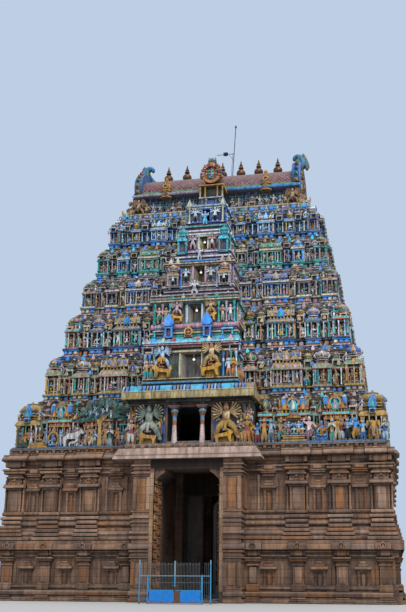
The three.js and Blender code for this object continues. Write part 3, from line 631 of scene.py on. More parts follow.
# a steep pointed gable in the middle, smaller ones beside it
stack(0, -0.36, [(0.67, 0.1), (0.7, 0.13, 0.12), (0.76, 0.115, 0.12), (0.8, 0.14, 0.12), (0.84, 0.09, 0.1),
                 (0.9, 0.05, 0.06), (0.97, 0.008, 0.01)], INSET)
stack(0, -0.47, [(0.7, 0.05, 0.03), (0.74, 0.07, 0.03), (0.8, 0.04, 0.02), (0.83, 0.01)], POST)
for x in (-0.29, 0.29):
    stack(x, -0.38, [(0.69, 0.05, 0.06), (0.71, 0.075, 0.08), (0.77, 0.07, 0.08), (0.82, 0.03, 0.05),
                     (0.88, 0.006, 0.01)], TRIM)
    stack(x, -0.45, [(0.7, 0.03, 0.04), (0.73, 0.045, 0.04), (0.77, 0.03, 0.04), (0.8, 0.006, 0.01)], FINIAL)
for x in (-0.4, -0.2, 0, 0.2, 0.4):  # buds along the lip of the eave
    stack(x, -0.46, [(0.5, 0.03, 0.04), (0.53, 0.04), (0.58, 0.006, 0.01)], FINIAL)
keep()

# %% [markdown]
# ## Figures
# Hundreds of stucco figures stand in the rows: gods with tall crowns, dancers, worshippers, door
# guardians with fans of arms, lions, cattle. Each starts as a stick skeleton of points and bones, and the
# Skin modifier wraps it in a closed body of about a hundred faces, which is enough at a hand's height in
# the picture. Faces are plain and calm, of no person. The large ones get one level of subdivision.

# %% Figures from skeletons
def figure(name, chains, rounder=False):
    """A figure one unit high: chains of (x, y, z, radius) points, each started at a point it shares."""
    points, bones, radii = [], [], []
    for chain in chains:
        before = None
        for x, y, z, radius in chain:
            near = [i for i, p in enumerate(points) if (Vector(p) - Vector((x, y, z))).length < 1e-4]
            if near:
                index = near[0]
            else:
                index = len(points)
                points.append((x, y, z))
                radii.append(radius)
            if before is not None:
                bones.append((before, index))
            before = index
    mesh = bpy.data.meshes.new(name)
    mesh.from_pydata(points, bones, [])
    made = bpy.data.objects.new(name, mesh)
    scene.collection.objects.link(made)
    bpy.ops.object.select_all(action="DESELECT")
    bpy.context.view_layer.objects.active = made
    made.select_set(True)
    bpy.ops.object.modifier_add(type="SKIN")
    made.modifiers[0].branch_smoothing = 0.4
    for index, radius in enumerate(radii):
        made.data.skin_vertices[0].data[index].radius = (radius, radius)
    if rounder:
        bpy.ops.object.modifier_add(type="SUBSURF")
        made.modifiers[1].levels = made.modifiers[1].render_levels = 1
    for modifier in [m.name for m in made.modifiers]:
        bpy.ops.object.modifier_apply(modifier=modifier)
    for face in made.data.polygons:
        x, y, z = face.center
        face.material_index = (FINIAL if z > 0.905 else BASE if z > 0.56 or abs(x) > 0.2 else TRIM
                               if z > 0.5 else POST if z > 0.1 else BASE)
        if rounder and z > 0.54 and abs(x) > 0.14:  # arms in two paints by turns, with pale hands
            turn = math.degrees(math.atan2(z - 0.72, abs(x) - 0.1))
            face.material_index = (FINIAL if math.hypot(z - 0.72, abs(x) - 0.1) > 0.25 else EAVE
                                   if round((turn + 35) / 19.2) % 2 else BASE)
        elif rounder and z > 0.62:  # the chest, and a dark band across the brow
            face.material_index = EAVE if z < 0.72 else ROOF if z > 0.86 else BASE
    scene.collection.objects.unlink(made)
    moulds[name] = made.data
    print("figure", name, "faces:", len(made.data.polygons), "size:", [round(v, 2) for v in made.dimensions])


HIPS = (0, 0, 0.5, 0.085)
WAIST = (0, 0, 0.61, 0.062)
LAP = (0, 0, 0.16, 0.085)  # the hips and the chest of a seated figure
HEART = (0, 0, 0.55, 0.088)


def body(lean=0.0, bottom=0.5):
    """The spine from the hips to the tip of the crown."""
    drop = 0.5 - bottom
    return [(0, 0, 0.5 - drop, 0.085), (lean * 0.5, 0, 0.61 - drop * 0.8, 0.062),
            (lean, 0, 0.72 - drop * 0.5, 0.088), (lean, 0, 0.8 - drop * 0.3, 0.036),
            (lean, -0.01, 0.86, 0.06), (lean, 0, 0.93, 0.05), (lean, 0, 1.0, 0.012)]


def legs(stance=0.07):
    """Two legs from the hips down to the toes."""
    return [[HIPS, (s * stance * 1.1, -0.01, 0.29, 0.06), (s * stance * 1.15, 0, 0.05, 0.04),
             (s * stance * 1.3, -0.07, 0.025, 0.03)] for s in SIDES]


def arm(side, elbow, hand, lean=0.0):
    """One arm from the chest over the shoulder."""
    return [(lean, 0, 0.72, 0.088), (lean + side * 0.12, 0, 0.745, 0.042), (*elbow, 0.032), (*hand, 0.03)]


figure("standing", [body(), *legs(), arm(-1, (-0.17, 0, 0.6), (-0.15, -0.08, 0.52)),
                    arm(1, (0.18, -0.03, 0.61), (0.15, -0.1, 0.72))])
figure("dancing", [body(0.02), [HIPS, (-0.09, -0.06, 0.3, 0.06), (-0.05, 0, 0.05, 0.04),
                                (-0.08, -0.06, 0.025, 0.03)],
                                [HIPS, (0.14, -0.08, 0.4, 0.058), (0.06, -0.04, 0.22, 0.036)],
                                arm(-1, (-0.2, 0, 0.78), (-0.16, 0, 0.93), 0.02),
                                arm(1, (0.22, 0, 0.66), (0.27, -0.04, 0.56), 0.02)])
figure("praying", [body(), *legs(0.05), arm(-1, (-0.15, -0.05, 0.6), (-0.02, -0.13, 0.7)),
                   arm(1, (0.15, -0.05, 0.6), (0.03, -0.13, 0.7))])
figure("four_armed", [body(), *legs(0.08), arm(-1, (-0.2, 0, 0.68), (-0.22, 0, 0.86)),
                      arm(1, (0.2, 0, 0.68), (0.22, 0, 0.86)),
                      [WAIST, (-0.14, -0.05, 0.6, 0.034), (-0.13, -0.12, 0.54, 0.028)],
                      [WAIST, (0.14, -0.05, 0.6, 0.034), (0.13, -0.12, 0.66, 0.028)]])
figure("seated", [body(0.0, 0.16), [LAP, (-0.24, -0.12, 0.1, 0.07), (0.02, -0.2, 0.07, 0.045)],
                  [LAP, (0.24, -0.12, 0.1, 0.07), (0.1, -0.24, 0.05, 0.045)],
                  [HEART, (-0.18, 0, 0.5, 0.05), (-0.27, -0.06, 0.32, 0.04), (-0.2, -0.18, 0.2, 0.035)],
                  [HEART, (0.18, 0, 0.5, 0.05), (0.28, -0.04, 0.5, 0.04), (0.26, -0.12, 0.66, 0.035)]])


def fan(count, reach, low=-20, high=75, thick=0.03, shoulder=(0, 0, 0.72, 0.088)):
    """Pairs of arms spread like a fan round the shoulders of a guardian."""
    spread = []
    for side in SIDES:
        for k in range(count):
            angle = math.radians(low + (high - low) * k / (count - 1))
            near, far = reach * 0.55, reach
            spread.append([shoulder, (side * 0.1, 0.02, 0.73 + 0.012 * k, thick),
                           (side * (0.1 + near * math.cos(angle)), 0.03, 0.72 + near * math.sin(angle),
                            thick), (side * (0.1 + far * math.cos(angle - 0.15)), -0.02 * (k % 2),
                                     0.72 + far * math.sin(angle + 0.1), thick * 1.1)])
    return spread


BELLY, BREAST = (0, 0, 0.46, 0.13), (0, -0.01, 0.69, 0.14)
figure("guardian", [[BELLY, (0, 0, 0.56, 0.1), BREAST, (0, -0.02, 0.765, 0.06), (0, -0.05, 0.83, 0.085),
                     (0, -0.03, 0.9, 0.08), (0, 0, 1.0, 0.03)],
                     [BELLY, (-0.2, -0.08, 0.33, 0.09), (-0.27, -0.02, 0.06, 0.055),
                      (-0.32, -0.1, 0.035, 0.045)], [BELLY, (0.2, -0.1, 0.36, 0.09), (0.3, 0, 0.06, 0.055),
                                                     (0.36, -0.08, 0.035, 0.045)],
                                                     [BELLY, (0, -0.14, 0.36, 0.035), (0, -0.13, 0.2, 0.05)],
                                                     *fan(7, 0.3, low=-35, high=80, thick=0.028,
                                                          shoulder=BREAST)], rounder=True)
figure("small_guardian", [body(), *legs(0.12), *fan(3, 0.24)])
# lions and cattle face +X, one unit long, and elephants face -Y
rump, chest, head = (-0.35, 0, 0.5, 0.13), (0.18, 0, 0.6, 0.16), (0.34, 0, 0.78, 0.15)
figure("lion", [[rump, (-0.1, 0, 0.52, 0.12), chest, head, (0.48, 0, 0.76, 0.07)],
                [head, (0.3, 0, 0.96, 0.05)], [rump, (-0.48, 0, 0.66, 0.035), (-0.42, 0, 0.9, 0.04)],
                *[[rump, (-0.36, s * 0.1, 0.25, 0.06), (-0.34, s * 0.1, 0.03, 0.05)] for s in SIDES],
                *[[chest, (0.24, s * 0.12, 0.28, 0.06), (0.28, s * 0.12, 0.03, 0.05)] for s in SIDES]])
rump, chest, head = (-0.38, 0, 0.6, 0.15), (0.2, 0, 0.66, 0.15), (0.36, 0, 0.84, 0.08)
figure("cow", [[rump, (-0.05, 0, 0.58, 0.17), chest, head, (0.5, 0, 0.74, 0.06)],
               [head, (0.3, 0.08, 0.99, 0.022)], [head, (0.3, -0.08, 0.99, 0.022)],
               [rump, (-0.5, 0, 0.5, 0.03), (-0.5, 0, 0.2, 0.03)],
               *[[rump, (-0.38, s * 0.08, 0.3, 0.055), (-0.38, s * 0.08, 0.03, 0.045)] for s in SIDES],
               *[[chest, (0.2, s * 0.08, 0.3, 0.05), (0.2, s * 0.08, 0.03, 0.045)] for s in SIDES]])
middle, head, trunk = (0, 0, 0.56, 0.26), (0, -0.2, 0.72, 0.17), (0, -0.36, 0.5, 0.09)
figure("elephant", [[(0, 0.3, 0.5, 0.24), middle, head, trunk, (0, -0.4, 0.22, 0.06),
                     (0.05, -0.48, 0.1, 0.05)], *[[head, (s * 0.24, -0.12, 0.72, 0.09),
                                                   (s * 0.27, -0.12, 0.56, 0.05)] for s in SIDES],
                                                   *[[middle, (s * 0.16, -0.1, 0.28, 0.09),
                                                      (s * 0.16, -0.1, 0.03, 0.08)] for s in SIDES],
                                                      *[[trunk, (s * 0.12, -0.44, 0.42, 0.03),
                                                         (s * 0.13, -0.5, 0.5, 0.02)] for s in SIDES]])
crotch = (0, 0, 0.68, 0.09)
figure("tree", [[(0, 0, 0.02, 0.1), (0, 0, 0.45, 0.07), crotch],
                *[[crotch, (x * 0.5, 0, 0.8, 0.05), (x, 0, 1.0, 0.035)]
                  for x in (-0.42, -0.2, 0.05, 0.24, 0.42)]])
poses = ["standing", "dancing", "praying", "four_armed"]

# %% Clothes of the figures
def dressed(*names):
    """The paint of a figure: names for skin, garment, belt and crown, as one string or as several."""
    return dict(zip((BASE, POST, TRIM, FINIAL), " ".join(names).split()))


bright_clothes = ["gold orange red gold", "ice blue gold gold", "white white pink ochre",
                  "flesh ochre leaf gold", "sea gold red ochre", "flesh teal gold gold",
                  "cream brick gold cream", "flesh white red brown", "ice orange white gold"]
muted_clothes = ["sand stone salmon brown", "white grey grey stone", "pink slate white tan",
                 "cream rose ochre ochre", "grey white brick stone", "salmon green cream tan"]
blue_clothes = ["ice blue white gold", "slate royal ochre blue", "white ice orange ochre",
                "flesh royal white orange", "ice slate pink royal"]
print("sets of clothes:", len(bright_clothes + muted_clothes + blue_clothes))

# %% [markdown]
# ## The six storeys
# Every storey repeats one order: a painted base, a row of shrines with figures between them on a dark
# ground, a flared eave, and the domes and barrels against the foot of the next storey. What changes is
# the size and the paint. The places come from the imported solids, and the heights of the eaves and of the
# figures' feet were measured in the picture.

# %% Storey sizes and paint
def storey_sizes(number):
    """Where the row of a storey stands: its floor, its two faces, its bay, and the face of what follows."""
    low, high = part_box(f"storey_{number}_right_shrines")
    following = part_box(f"storey_{number + 1}_floor" if number < 6 else "terrace_slab")[1]
    return {"floor": low.z, "face_x": high.x, "face_y": high.y, "next_x": following.x,
            "bay_y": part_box(f"storey_{number}_wall")[1].y}


# for each storey the heights of the figures' feet, the eave, the roofs and their top; where the roofs end
# at the back, on the front and on the sides; half the width of the bay; the shrines from the bay to the
# corner, as (kind, middle, half width, paint)
HEIGHTS = {1: (10.24, 12.0, 12.36, 13.42), 2: (14.35, 15.49, 15.84, 17.04), 3: (18.06, 19.25, 19.52, 20.54),
           4: (21.62, 22.7, 22.96, 23.69), 5: (24.68, 25.66, 25.98, 26.54), 6: (27.48, 28.32, 28.58, 29.29)}
BACK_Y = {1: 8.39, 2: 7.29, 3: 6.24, 4: 5.24, 5: 4.39, 6: 3.69}
BACK_X = {1: 11.6, 2: 10.7, 3: 9.9, 4: 9.15, 5: 8.5, 6: 7.95}
BAY_X = {1: 4.45, 2: 3.05, 3: 2.95, 4: 2.45, 5: 2.0, 6: 1.5}
SHRINES = {
    1: [("kuta", 4.9, 0.4, "slate teal dark brick leaf cyan pink gold"),
        ("sala", 6.85, 1.05, "slate white dark brick sea orange cyan gold"),
        ("sala", 9.65, 0.8, "slate pink dark brick leaf orange cyan gold")],
    2: [("kuta", 3.7, 0.42, "stone pink dark salmon green grey white gold"),
        ("sala", 6.28, 1.05, "cream pink deep pink blue sand tan ochre"),
        ("kuta", 8.72, 0.6, "stone teal brick stone grey grey white ochre")],
    3: [("kuta", 3.42, 0.4, "navy white deep ochre brick green leaf ochre"),
        ("sala", 5.76, 1.02, "navy teal deep sand ochre grey sky ochre"),
        ("kuta", 8.08, 0.5, "navy teal dark sky lilac white pink ochre")],
    4: [("kuta", 2.95, 0.4, "stone salmon dark sand stone blue blue grey"),
        ("sala", 5.3, 0.9, "grey pink slate sand lilac sky cream grey"),
        ("kuta", 7.39, 0.47, "grey stone dark cream green rose cream grey")],
    5: [("kuta", 2.55, 0.4, "cream sand dark cream cream sand gold ochre"),
        ("sala", 4.82, 0.81, "teal mint deep mint mint mint green gold"),
        ("kuta", 6.88, 0.45, "sky sky dark sky sky cyan ice gold")],
    6: [("kuta", 2.32, 0.4, "blue ochre dark ochre ochre tan ochre ochre"),
        ("sala", 4.32, 0.64, "royal ice navy ice ice white ice gold"),
        ("kuta", 6.21, 0.37, "blue ochre dark ochre tan ochre ochre ochre")]}
# the corner domes pass the foot of the next storey
CORNER_RISE = {1: 0.35, 2: 0.3, 3: 0.25, 4: 0.2, 5: 0.3, 6: 0.15}
CORNERS = {1: "brown ochre dark ochre ochre ochre sky gold", 2: "cream gold dark green blue pink pink gold",
           3: "pink teal dark teal rose red green ochre", 4: "lilac slate dark ochre green lilac grey grey",
           5: "teal teal dark teal teal teal gold gold", 6: "rose rose dark rose pink rose pink ochre"}
# base courses (plinth, band, ledge), panels on the band, ground, eave and its crest, wall behind the roofs
TRIMS = {1: ("slate slate ice", "slate blue", "deep", "cyan orange", "deep"),
         2: ("blue green ochre", "sky pink", "deep", "green salmon", "brown"),
         3: ("pink stone navy", "sky orange", "deep", "navy slate", "slate"),
         4: ("sand salmon cream", "sky rose", "slate", "cream white", "stone"),
         5: ("ice pink teal", "mint sky", "navy", "sand white", "slate"),
         6: ("blue royal slate", "sky ochre", "navy", "blue ice", "royal")}
LEDGES = {2: "ochre blue orange", 3: "sand sky pink", 4: "stone sand cream", 5: "rose white sand",
          6: "sand ochre tan"}
CLOTHES = {1: bright_clothes, 2: bright_clothes + muted_clothes, 3: bright_clothes + muted_clothes,
           4: muted_clothes, 5: muted_clothes, 6: blue_clothes}
print("storeys described:", len(HEIGHTS))

# %% One row of shrines
def sides_of(u):
    """Both sides, or only one for what stands in the middle."""
    return SIDES if u > 0.01 else (1,)


def both(mould, u, y, z, wide, deep, high, colours):
    """A cast at u and its mirror image on the other half of the row."""
    stand(mould, u, y, z, wide, deep, high, colours)
    if abs(u) > 1e-6:
        stand(mould, -u, y, z, wide, deep, high, colours, flip=True)


def strip(mould, u0, u1, front, back, z0, z1, colours):
    """A length of course on both halves of a row, from u0 to u1."""
    if u0 <= 0:
        cast(mould, (-u1, -front, z0), (u1, -back, z1), colours)
        return
    cast(mould, (u0, -front, z0), (u1, -back, z1), colours)
    cast(mould, (-u1, -front, z0), (-u0, -back, z1), colours)


def pose(mould, u, y, z, high, colours, turn=0.0):
    """A figure standing at u, in clothes given as a dictionary or by their four names."""
    stand(mould, u, y, z, high, high, high, dressed(colours) if isinstance(colours, str) else colours, turn)


def shrine(kind, u, front, back, half, foot, top, colours, clothes):
    """A model shrine at u with the figures that sit or stand in it."""
    both(kind, u, -(front + back) / 2, foot, 2 * half, front - back, top - foot, colours)
    y, z, tall = -(front - 0.2 * (front - back)), foot + (top - foot) * 0.08, (top - foot) * 0.36
    for s in sides_of(u):
        if kind == "kuta":
            pose("seated", s * u, y, z, tall * 0.9, chance.choice(clothes))
        else:
            pose("seated", s * u, y, z, tall, chance.choice(clothes))
            for shift in (-0.65, 0.65):
                pose(chance.choice(poses), s * u + shift * half, y, z, tall, chance.choice(clothes))


def base_courses(number, u0, u1, front, back, floor, foot):
    """The base between the shrines, set back in shadow: plinth, band with small panels, ledge."""
    first, _, ledge = TRIMS[number][0].split()
    start, high = max(u0, 0), foot - floor
    strip("course", u0, u1, front - 0.2, back, floor, floor + 0.24 * high, TRIMS[number][4])
    strip("course", u0, u1, front - 0.36, back, floor + 0.24 * high, floor + 0.76 * high, TRIMS[number][2])
    strip("roll", u0, u1, front - 0.16, back, floor + 0.76 * high, foot, ledge)
    count = max(1, int((u1 - start) / 0.44))
    pitch = (u1 - start) / count
    for k in range(count):
        both("block", start + pitch * (k + 0.5), -(front - 0.32), floor + 0.28 * high, pitch * 0.6, 0.12,
             0.42 * high, one_of(f"{TRIMS[number][1]} {first} stone"))


def ledge_piece(number, u, half, front, back, floor, foot):
    """The base under one shrine, which stands forward: courses in its own paints, panels and buds."""
    first, second, third = TRIMS[number][0].split()
    panel, spot = TRIMS[number][1].split()
    high = foot - floor
    for low, upper, out, paint in ((0.0, 0.2, 0.14, first), (0.2, 0.3, 0.05, spot), (0.3, 0.66, 0.0, second),
                                   (0.66, 0.76, 0.1, panel), (0.76, 1.0, 0.15, third)):
        both("course", u, -(front + out + back) / 2, floor + low * high, 2 * half + out, front + out - back,
             (upper - low) * high, paint)
    count = max(1, round(2 * half / 0.42))
    for k in range(count):
        both("block", u - half + 2 * half * (k + 0.5) / count, -(front + 0.03), floor + 0.34 * high,
             1.2 * half / count, 0.1, 0.28 * high, one_of(f"{panel} {panel} {spot} cream"))
    for k in range(count + 1):
        both("leaf", u - half + 2 * half * k / count, -(front + 0.1), floor + 0.02 * high, 0.16, 0.12,
             0.26 * high, one_of(f"{third} {spot} sand"))


def wedge_piece(number, u, half, front, floor):
    """The share of one shrine in the ledge below it: stripes of paint, with buds and bright dormers."""
    lower, middle, upper = LEDGES[number].split()
    accent = one_of("sky blue cyan pink orange")
    for k, out in enumerate((-0.4, -0.28, -0.18, -0.08, 0.0, 0.06)):  # corbelled out step by step
        z = floor - 0.6 + 0.108 * k
        both("roll" if k % 2 else "course", u, -front + 0.5 - out, z, 2 * half + 0.5 * out, 1.0, 0.09,
             (lower, middle, upper)[k % 3])
        count = max(1, round(2 * half / 0.4))
        for j in range(count):
            if (j + k) % 2:
                both("block", u - half + 2 * half * (j + 0.5) / count, -front - out - 0.02, z - 0.02, 0.16,
                     0.14, 0.1, one_of(f"dark white {upper} sand slate"))
    both("leaf", u, -front - 0.06, floor - 0.36, 0.26, 0.2, 0.42, accent)


def fill_gap(a, b, number, face, back, clothes):
    """From a to b: figures between thin posts, with arches, small shrines and figures above the eave."""
    foot, eave, roof, top = HEIGHTS[number]
    crest, behind = TRIMS[number][3].split()[1], TRIMS[number][4]
    high = (top - roof) * 0.8
    count = max(1, round((b - a) / 0.62))
    pitch = (b - a) / count
    for k in range(count):
        u = a + pitch * (k + 0.5)
        for s in SIDES:
            tall = (eave - foot) * chance.uniform(0.84, 0.97)
            pose(chance.choice(poses), s * u, -(face - 0.3), foot, tall, chance.choice(clothes),
                 chance.uniform(-0.3, 0.3))
            pose(chance.choice(poses + ["seated"]), s * u + chance.choice([-0.17, 0.17]), -(face - 0.12),
                 foot, tall * chance.uniform(0.5, 0.7), chance.choice(clothes), chance.uniform(-0.5, 0.5))
        if k % 2 == 0:
            both("kuta", u, -(back + 0.62), roof - 0.42 * high, min(0.56, pitch * 0.86), 0.5, 1.42 * high,
                 {BASE: behind, POST: "sand", DARK: "dark", EAVE: one_of("ice pink sea salmon"),
                  ROOF: one_of("slate lilac green salmon tan"), TRIM: "sand", INSET: one_of("sky ochre"),
                  FINIAL: "gold"})
        else:
            both("arch", u, -(back + 0.6), roof - 0.05, min(0.56, pitch * 0.86), 0.25, high,
                 {TRIM: one_of(f"{behind} {crest} sand sea pink"), INSET: one_of("deep navy brick"),
                  FINIAL: one_of("sky ice orange leaf"), BASE: one_of("white gold pink")})
        for s in SIDES:
            pose(chance.choice(poses + ["seated"]), s * (u + 0.26), -(back + 0.8), roof - 0.03, high * 0.6,
                 chance.choice(clothes))
    for k in range(count + 1):
        both("post", a + pitch * k, -(face - 0.3), foot, 0.13, 0.13, eave - foot,
             one_of("sand pink sea grey"))


def row(number, face, back, u0, u1, shrines, clothes):
    """Everything of one row that faces -Y, from the bay at u0 to the end at u1."""
    floor = SIZES[number]["floor"]
    foot, eave, roof, top = HEIGHTS[number]
    _, panels, ground, eaves, behind = TRIMS[number]
    lip, crest = eaves.split()
    start = max(u0, 0)
    end = min(u1, SIZES[number]["next_x"] if face == SIZES[number]["face_y"] else BACK_Y[number])
    base_courses(number, u0, u1, face, back, floor, foot)
    for kind, u, half, colours in shrines:
        ledge_piece(number, u, half, face, back, floor, foot)
        if number > 1:  # the slab stands out by 0.3 m
            wedge_piece(number, u, half + 0.16, face + 0.3 + (0.1 if kind == "sala" else 0.07), floor)
        shrine(kind, u, face + 0.06, back, half, foot, top, colours, clothes)
        both("flare", u, -(face + 0.08 + back) / 2, eave, 2 * half + 0.16, face + 0.18 - back, roof - eave,
             {EAVE: lip, TRIM: crest})
    strip("course", u0, u1, back + 0.3, back - 0.1, foot, eave, ground)
    strip("course", u0, u1, face - 0.32, back, eave - 0.1, eave, crest)
    strip("flare", u0, u1, face - 0.14, back, eave, roof, {EAVE: one_of(f"{lip} stone sea"), TRIM: crest})
    # behind the roofs a wall with mouldings, and under the next floor a row of small blocks, most painted
    # near black as the painted shade of slots
    strip("course", u0, end, back + 0.42, back - 0.1, roof, top - 0.06, behind)
    for low, upper, out, paint in ((0.0, 0.1, 0.56, "sand"), (0.3, 0.38, 0.52, lip), (0.44, 0.5, 0.5, "pink"),
                                   (0.62, 0.68, 0.54, "sand"), (0.72, 0.78, 0.5, crest)):
        strip("roll", u0, end, back + out, back - 0.1, roof + low * (top - roof), roof + upper * (top - roof),
              paint)
    # blocks painted near black: painted shade of slots
    for k in range(int((end - start) / 0.24)):
        both("block", start + 0.24 * (k + 0.5), -(back + 0.44), top - 0.2, 0.14, 0.1, 0.14,
             one_of(f"dark dark {ground} sand"))
    edges = [v for _, u, half, _ in sorted(shrines, key=lambda s: s[1]) for v in (u - half, u + half)]
    for a, b in zip([start] + edges[1::2], edges[::2] + [u1]):
        if b - a >= 0.25:
            fill_gap(a, b, number, face, back, clothes)
    for k in range(int((u1 - start) / 0.4)):  # slender posts of many colours stand in front of it all
        for s in SIDES:
            u = s * (start + 0.4 * (k + chance.uniform(0.3, 0.7)))
            stand("post", u, -(face - chance.uniform(-0.02, 0.1)), foot, 0.11, 0.11, eave - foot,
                  {POST: one_of("white teal orange pink ice sand grey mint cream"),
                   TRIM: one_of("sky ochre white")})
    for k in range(int((u1 - start) / 0.9)):
        both("leaf", start + 0.9 * (k + 0.6), -(face - 0.12), roof - 0.12, 0.3, 0.14, 0.36,
             one_of(f"{panels.split()[0]} sand tan"))


SIZES = {number: storey_sizes(number) for number in HEIGHTS}
print("rows from", [round(SIZES[n]["face_y"], 2) for n in SIZES])

# %% Rows of all storeys
for number in HEIGHTS:
    size, clothes = SIZES[number], CLOTHES[number]
    foot, eave, roof, top = HEIGHTS[number]
    face, back = size["face_y"], BACK_Y[number]
    corner_y = (face - back) / 2 + 0.25
    corner_x = (size["face_x"] - BACK_X[number]) / 2 + 0.25
    row(number, face, back, BAY_X[number], size["face_x"] - 0.04, SHRINES[number], clothes)
    for s in SIDES:
        x = s * (size["face_x"] + 0.04 - corner_x)
        high = top + CORNER_RISE[number] - foot
        stand("kuta", x, -(face + 0.04 - corner_y), foot, 2 * corner_x, 2 * corner_y, high, CORNERS[number])
        if s > 0:
            ledge_piece(number, x, corner_x - 0.04, face, face - 2 * corner_y, size["floor"], foot)
            if number > 1:
                wedge_piece(number, x, corner_x + 0.06, face + 0.38, size["floor"])
        pose("seated", s * (size["face_x"] - corner_x), -(face - 0.3), foot + 0.1, (top - foot) * 0.36,
             "gold gold red gold")
        stand("seated", s * (size["face_x"] - 0.3), -(face - corner_y), foot + 0.1, 0.9, 0.9, 0.9,
              dressed("flesh brick gold gold"), turn=s * math.pi / 2)
    front = gather(f"storey_{number}_front_shrines",
                   [f"storey_{number}_right_shrines"])
    opposite(front, f"storey_{number}_rear_shrines")
    # the sides: a sala in the middle, small kutas and salas beside it
    face, back = size["face_x"], BACK_X[number]
    run = size["face_y"] - 2 * corner_y
    kinds = SHRINES[number]
    row(number, face, back, 0, BACK_Y[number] + 0.1, [("sala", 0, 0.15 * run, kinds[1][3]),
                                                      ("kuta", 0.34 * run, 0.07 * run, kinds[0][3]),
                                                      ("sala", 0.64 * run, 0.12 * run, kinds[1][3])], clothes)
    turn_casts()
    side = gather(f"storey_{number}_right_side_shrines")
    opposite(side, f"storey_{number}_left_side_shrines",
             [f"storey_{number}_left_shrines"])

# bright blue leaves on the ledges and on the barrels in the middle of the front
for number, u, out, z, wide, high in ((2, 7.5, 0.2, 13.5, 0.4, 0.6), (3, 4.1, 0.2, 17.0, 0.4, 0.55),
                                      (3, 5.76, -0.5, 19.6, 0.72, 0.85), (3, 8.9, 0.2, 17.0, 0.4, 0.55),
                                      (4, 3.7, 0.24, 20.4, 0.42, 0.6), (4, 7.0, 0.24, 20.4, 0.42, 0.6),
                                      (4, 9.4, 0.24, 20.4, 0.42, 0.6), (4, 5.3, -0.35, 22.8, 0.45, 0.65),
                                      (5, 6.88, -0.25, 25.9, 0.6, 0.62), (6, 3.3, 0.2, 26.6, 0.3, 0.4),
                                      (6, 5.4, 0.2, 26.6, 0.3, 0.4)):
    both("leaf", u, -SIZES[number]["face_y"] - out, z, wide, 0.3, high, "sky")
pair("{}_blue_leaves", "painted_plaster_2")

# %% Walls and slabs behind the rows
for number in HEIGHTS:
    ground, course = TRIMS[number][2], TRIMS[number][0].split()[1]
    coat([f"storey_{number}_wall"], painted_plaster(f"distempered_wall_{number}",
                                                    [(0.0, ground), (1.0, course)], SIZES[number]["floor"],
                                                    HEIGHTS[number][3]))
slab_paints = {2: ("ochre", "stone"), 3: ("brown", "slate"), 4: ("brown", "stone"), 5: ("brown", "stone"),
               6: ("tan", "slate")}
for number, (lower, upper) in slab_paints.items():
    z = SIZES[number]["floor"]
    coat([f"storey_{number}_floor"], painted_plaster(f"distempered_ledge_{number}",
                                                     [(0.0, lower), (0.5, upper)], z - 0.3, z))
coat(["terrace_slab"], painted_plaster("distempered_ledge_7", [(0.0, "brick"), (0.6, "white")], 29.3, 29.6))
coat(["neck_wall"], painted_plaster("distempered_neck", [(0.0, "stone"), (0.3, "deep"), (0.6, "navy")], 29.6,
                                    31.9))

# %% [markdown]
# ## The middle bays
# Over the passage every storey has a bay that stands forward, with a doorway between guardians, columns
# and small shrines, on a moulded base and under a moulded cornice. The doorway itself is cut in the solid
# wall. Each bay is a list of courses, columns and figures, since no two of them are alike.

# %% Helpers for bays
def courses(half, front, back, levels):
    """Courses across the whole bay: (bottom, top, how far forward, paint[, mould])."""
    for bottom, top, out, paint, *mould in levels:
        cast(mould[0] if mould else "course", (-half - out, -front - out, bottom), (half + out, -back, top),
             paint)


def door_frame(half, sill, head, front, wide, paint, lintel):
    """Moulded jambs and a lintel round a doorway."""
    for s in SIDES:
        cast("block", (s * half, -front - 0.14, sill), (s * (half + wide), -front + 0.05, head), paint)
        cast("block", (s * (half + wide), -front - 0.07, sill),
             (s * (half + wide * 1.9), -front + 0.05, head), "sand")
    cast("course", (-half - 2 * wide, -front - 0.17, head),
         (half + 2 * wide, -front + 0.05, head + wide * 1.1), lintel)


def guardian(x, front, z, high, clothes, lion=None, mould="guardian"):
    """A door guardian, and the lion on which it stands."""
    lift = 0.26 * high if lion else 0
    pose(mould, x, -front - 0.16 * high, z + lift, high - lift, clothes)
    if lion:
        stand("lion", x, -front - 0.19 * high, z, high * 0.62, high * 0.62, high * 0.42, lion, flip=x < 0)
        cast("block", (x - 0.2 * high, -front - 0.14 * high, z), (x + 0.2 * high, -front, z + 0.24 * high),
             "lion")
        cast("block", (x - 0.17 * high, -front - 0.12 * high, z + 0.2 * high),
             (x + 0.17 * high, -front, z + 0.46 * high), "brick")
        pose("seated", x, -front - 0.2 * high, z + 0.3 * high, 0.3 * high, "orange red gold flesh")


pale_guard = {BASE: 0x7d9c8c, POST: 0xc9c4b0, TRIM: 0x3f7f78, FINIAL: 0xc7b98e, EAVE: 0xa8a084,
              ROOF: 0x4d6f66}
gold_guard = {BASE: 0xb98a52, POST: 0xc79a3c, TRIM: "brick", FINIAL: "ochre", EAVE: 0xd8bd8c, ROOF: 0x8a5a3a}
blue_guard = {BASE: "ice", POST: "lion", TRIM: "red", FINIAL: "brown"}
grey_guard = {BASE: "white", POST: "dark", TRIM: "white", FINIAL: "grey"}
pink_guard = {BASE: "pink", POST: "salmon", TRIM: "white", FINIAL: "sand"}
gold_lion = dressed("lion lion lion gold")
bay_y = {n: SIZES[n]["bay_y"] for n in SIZES}


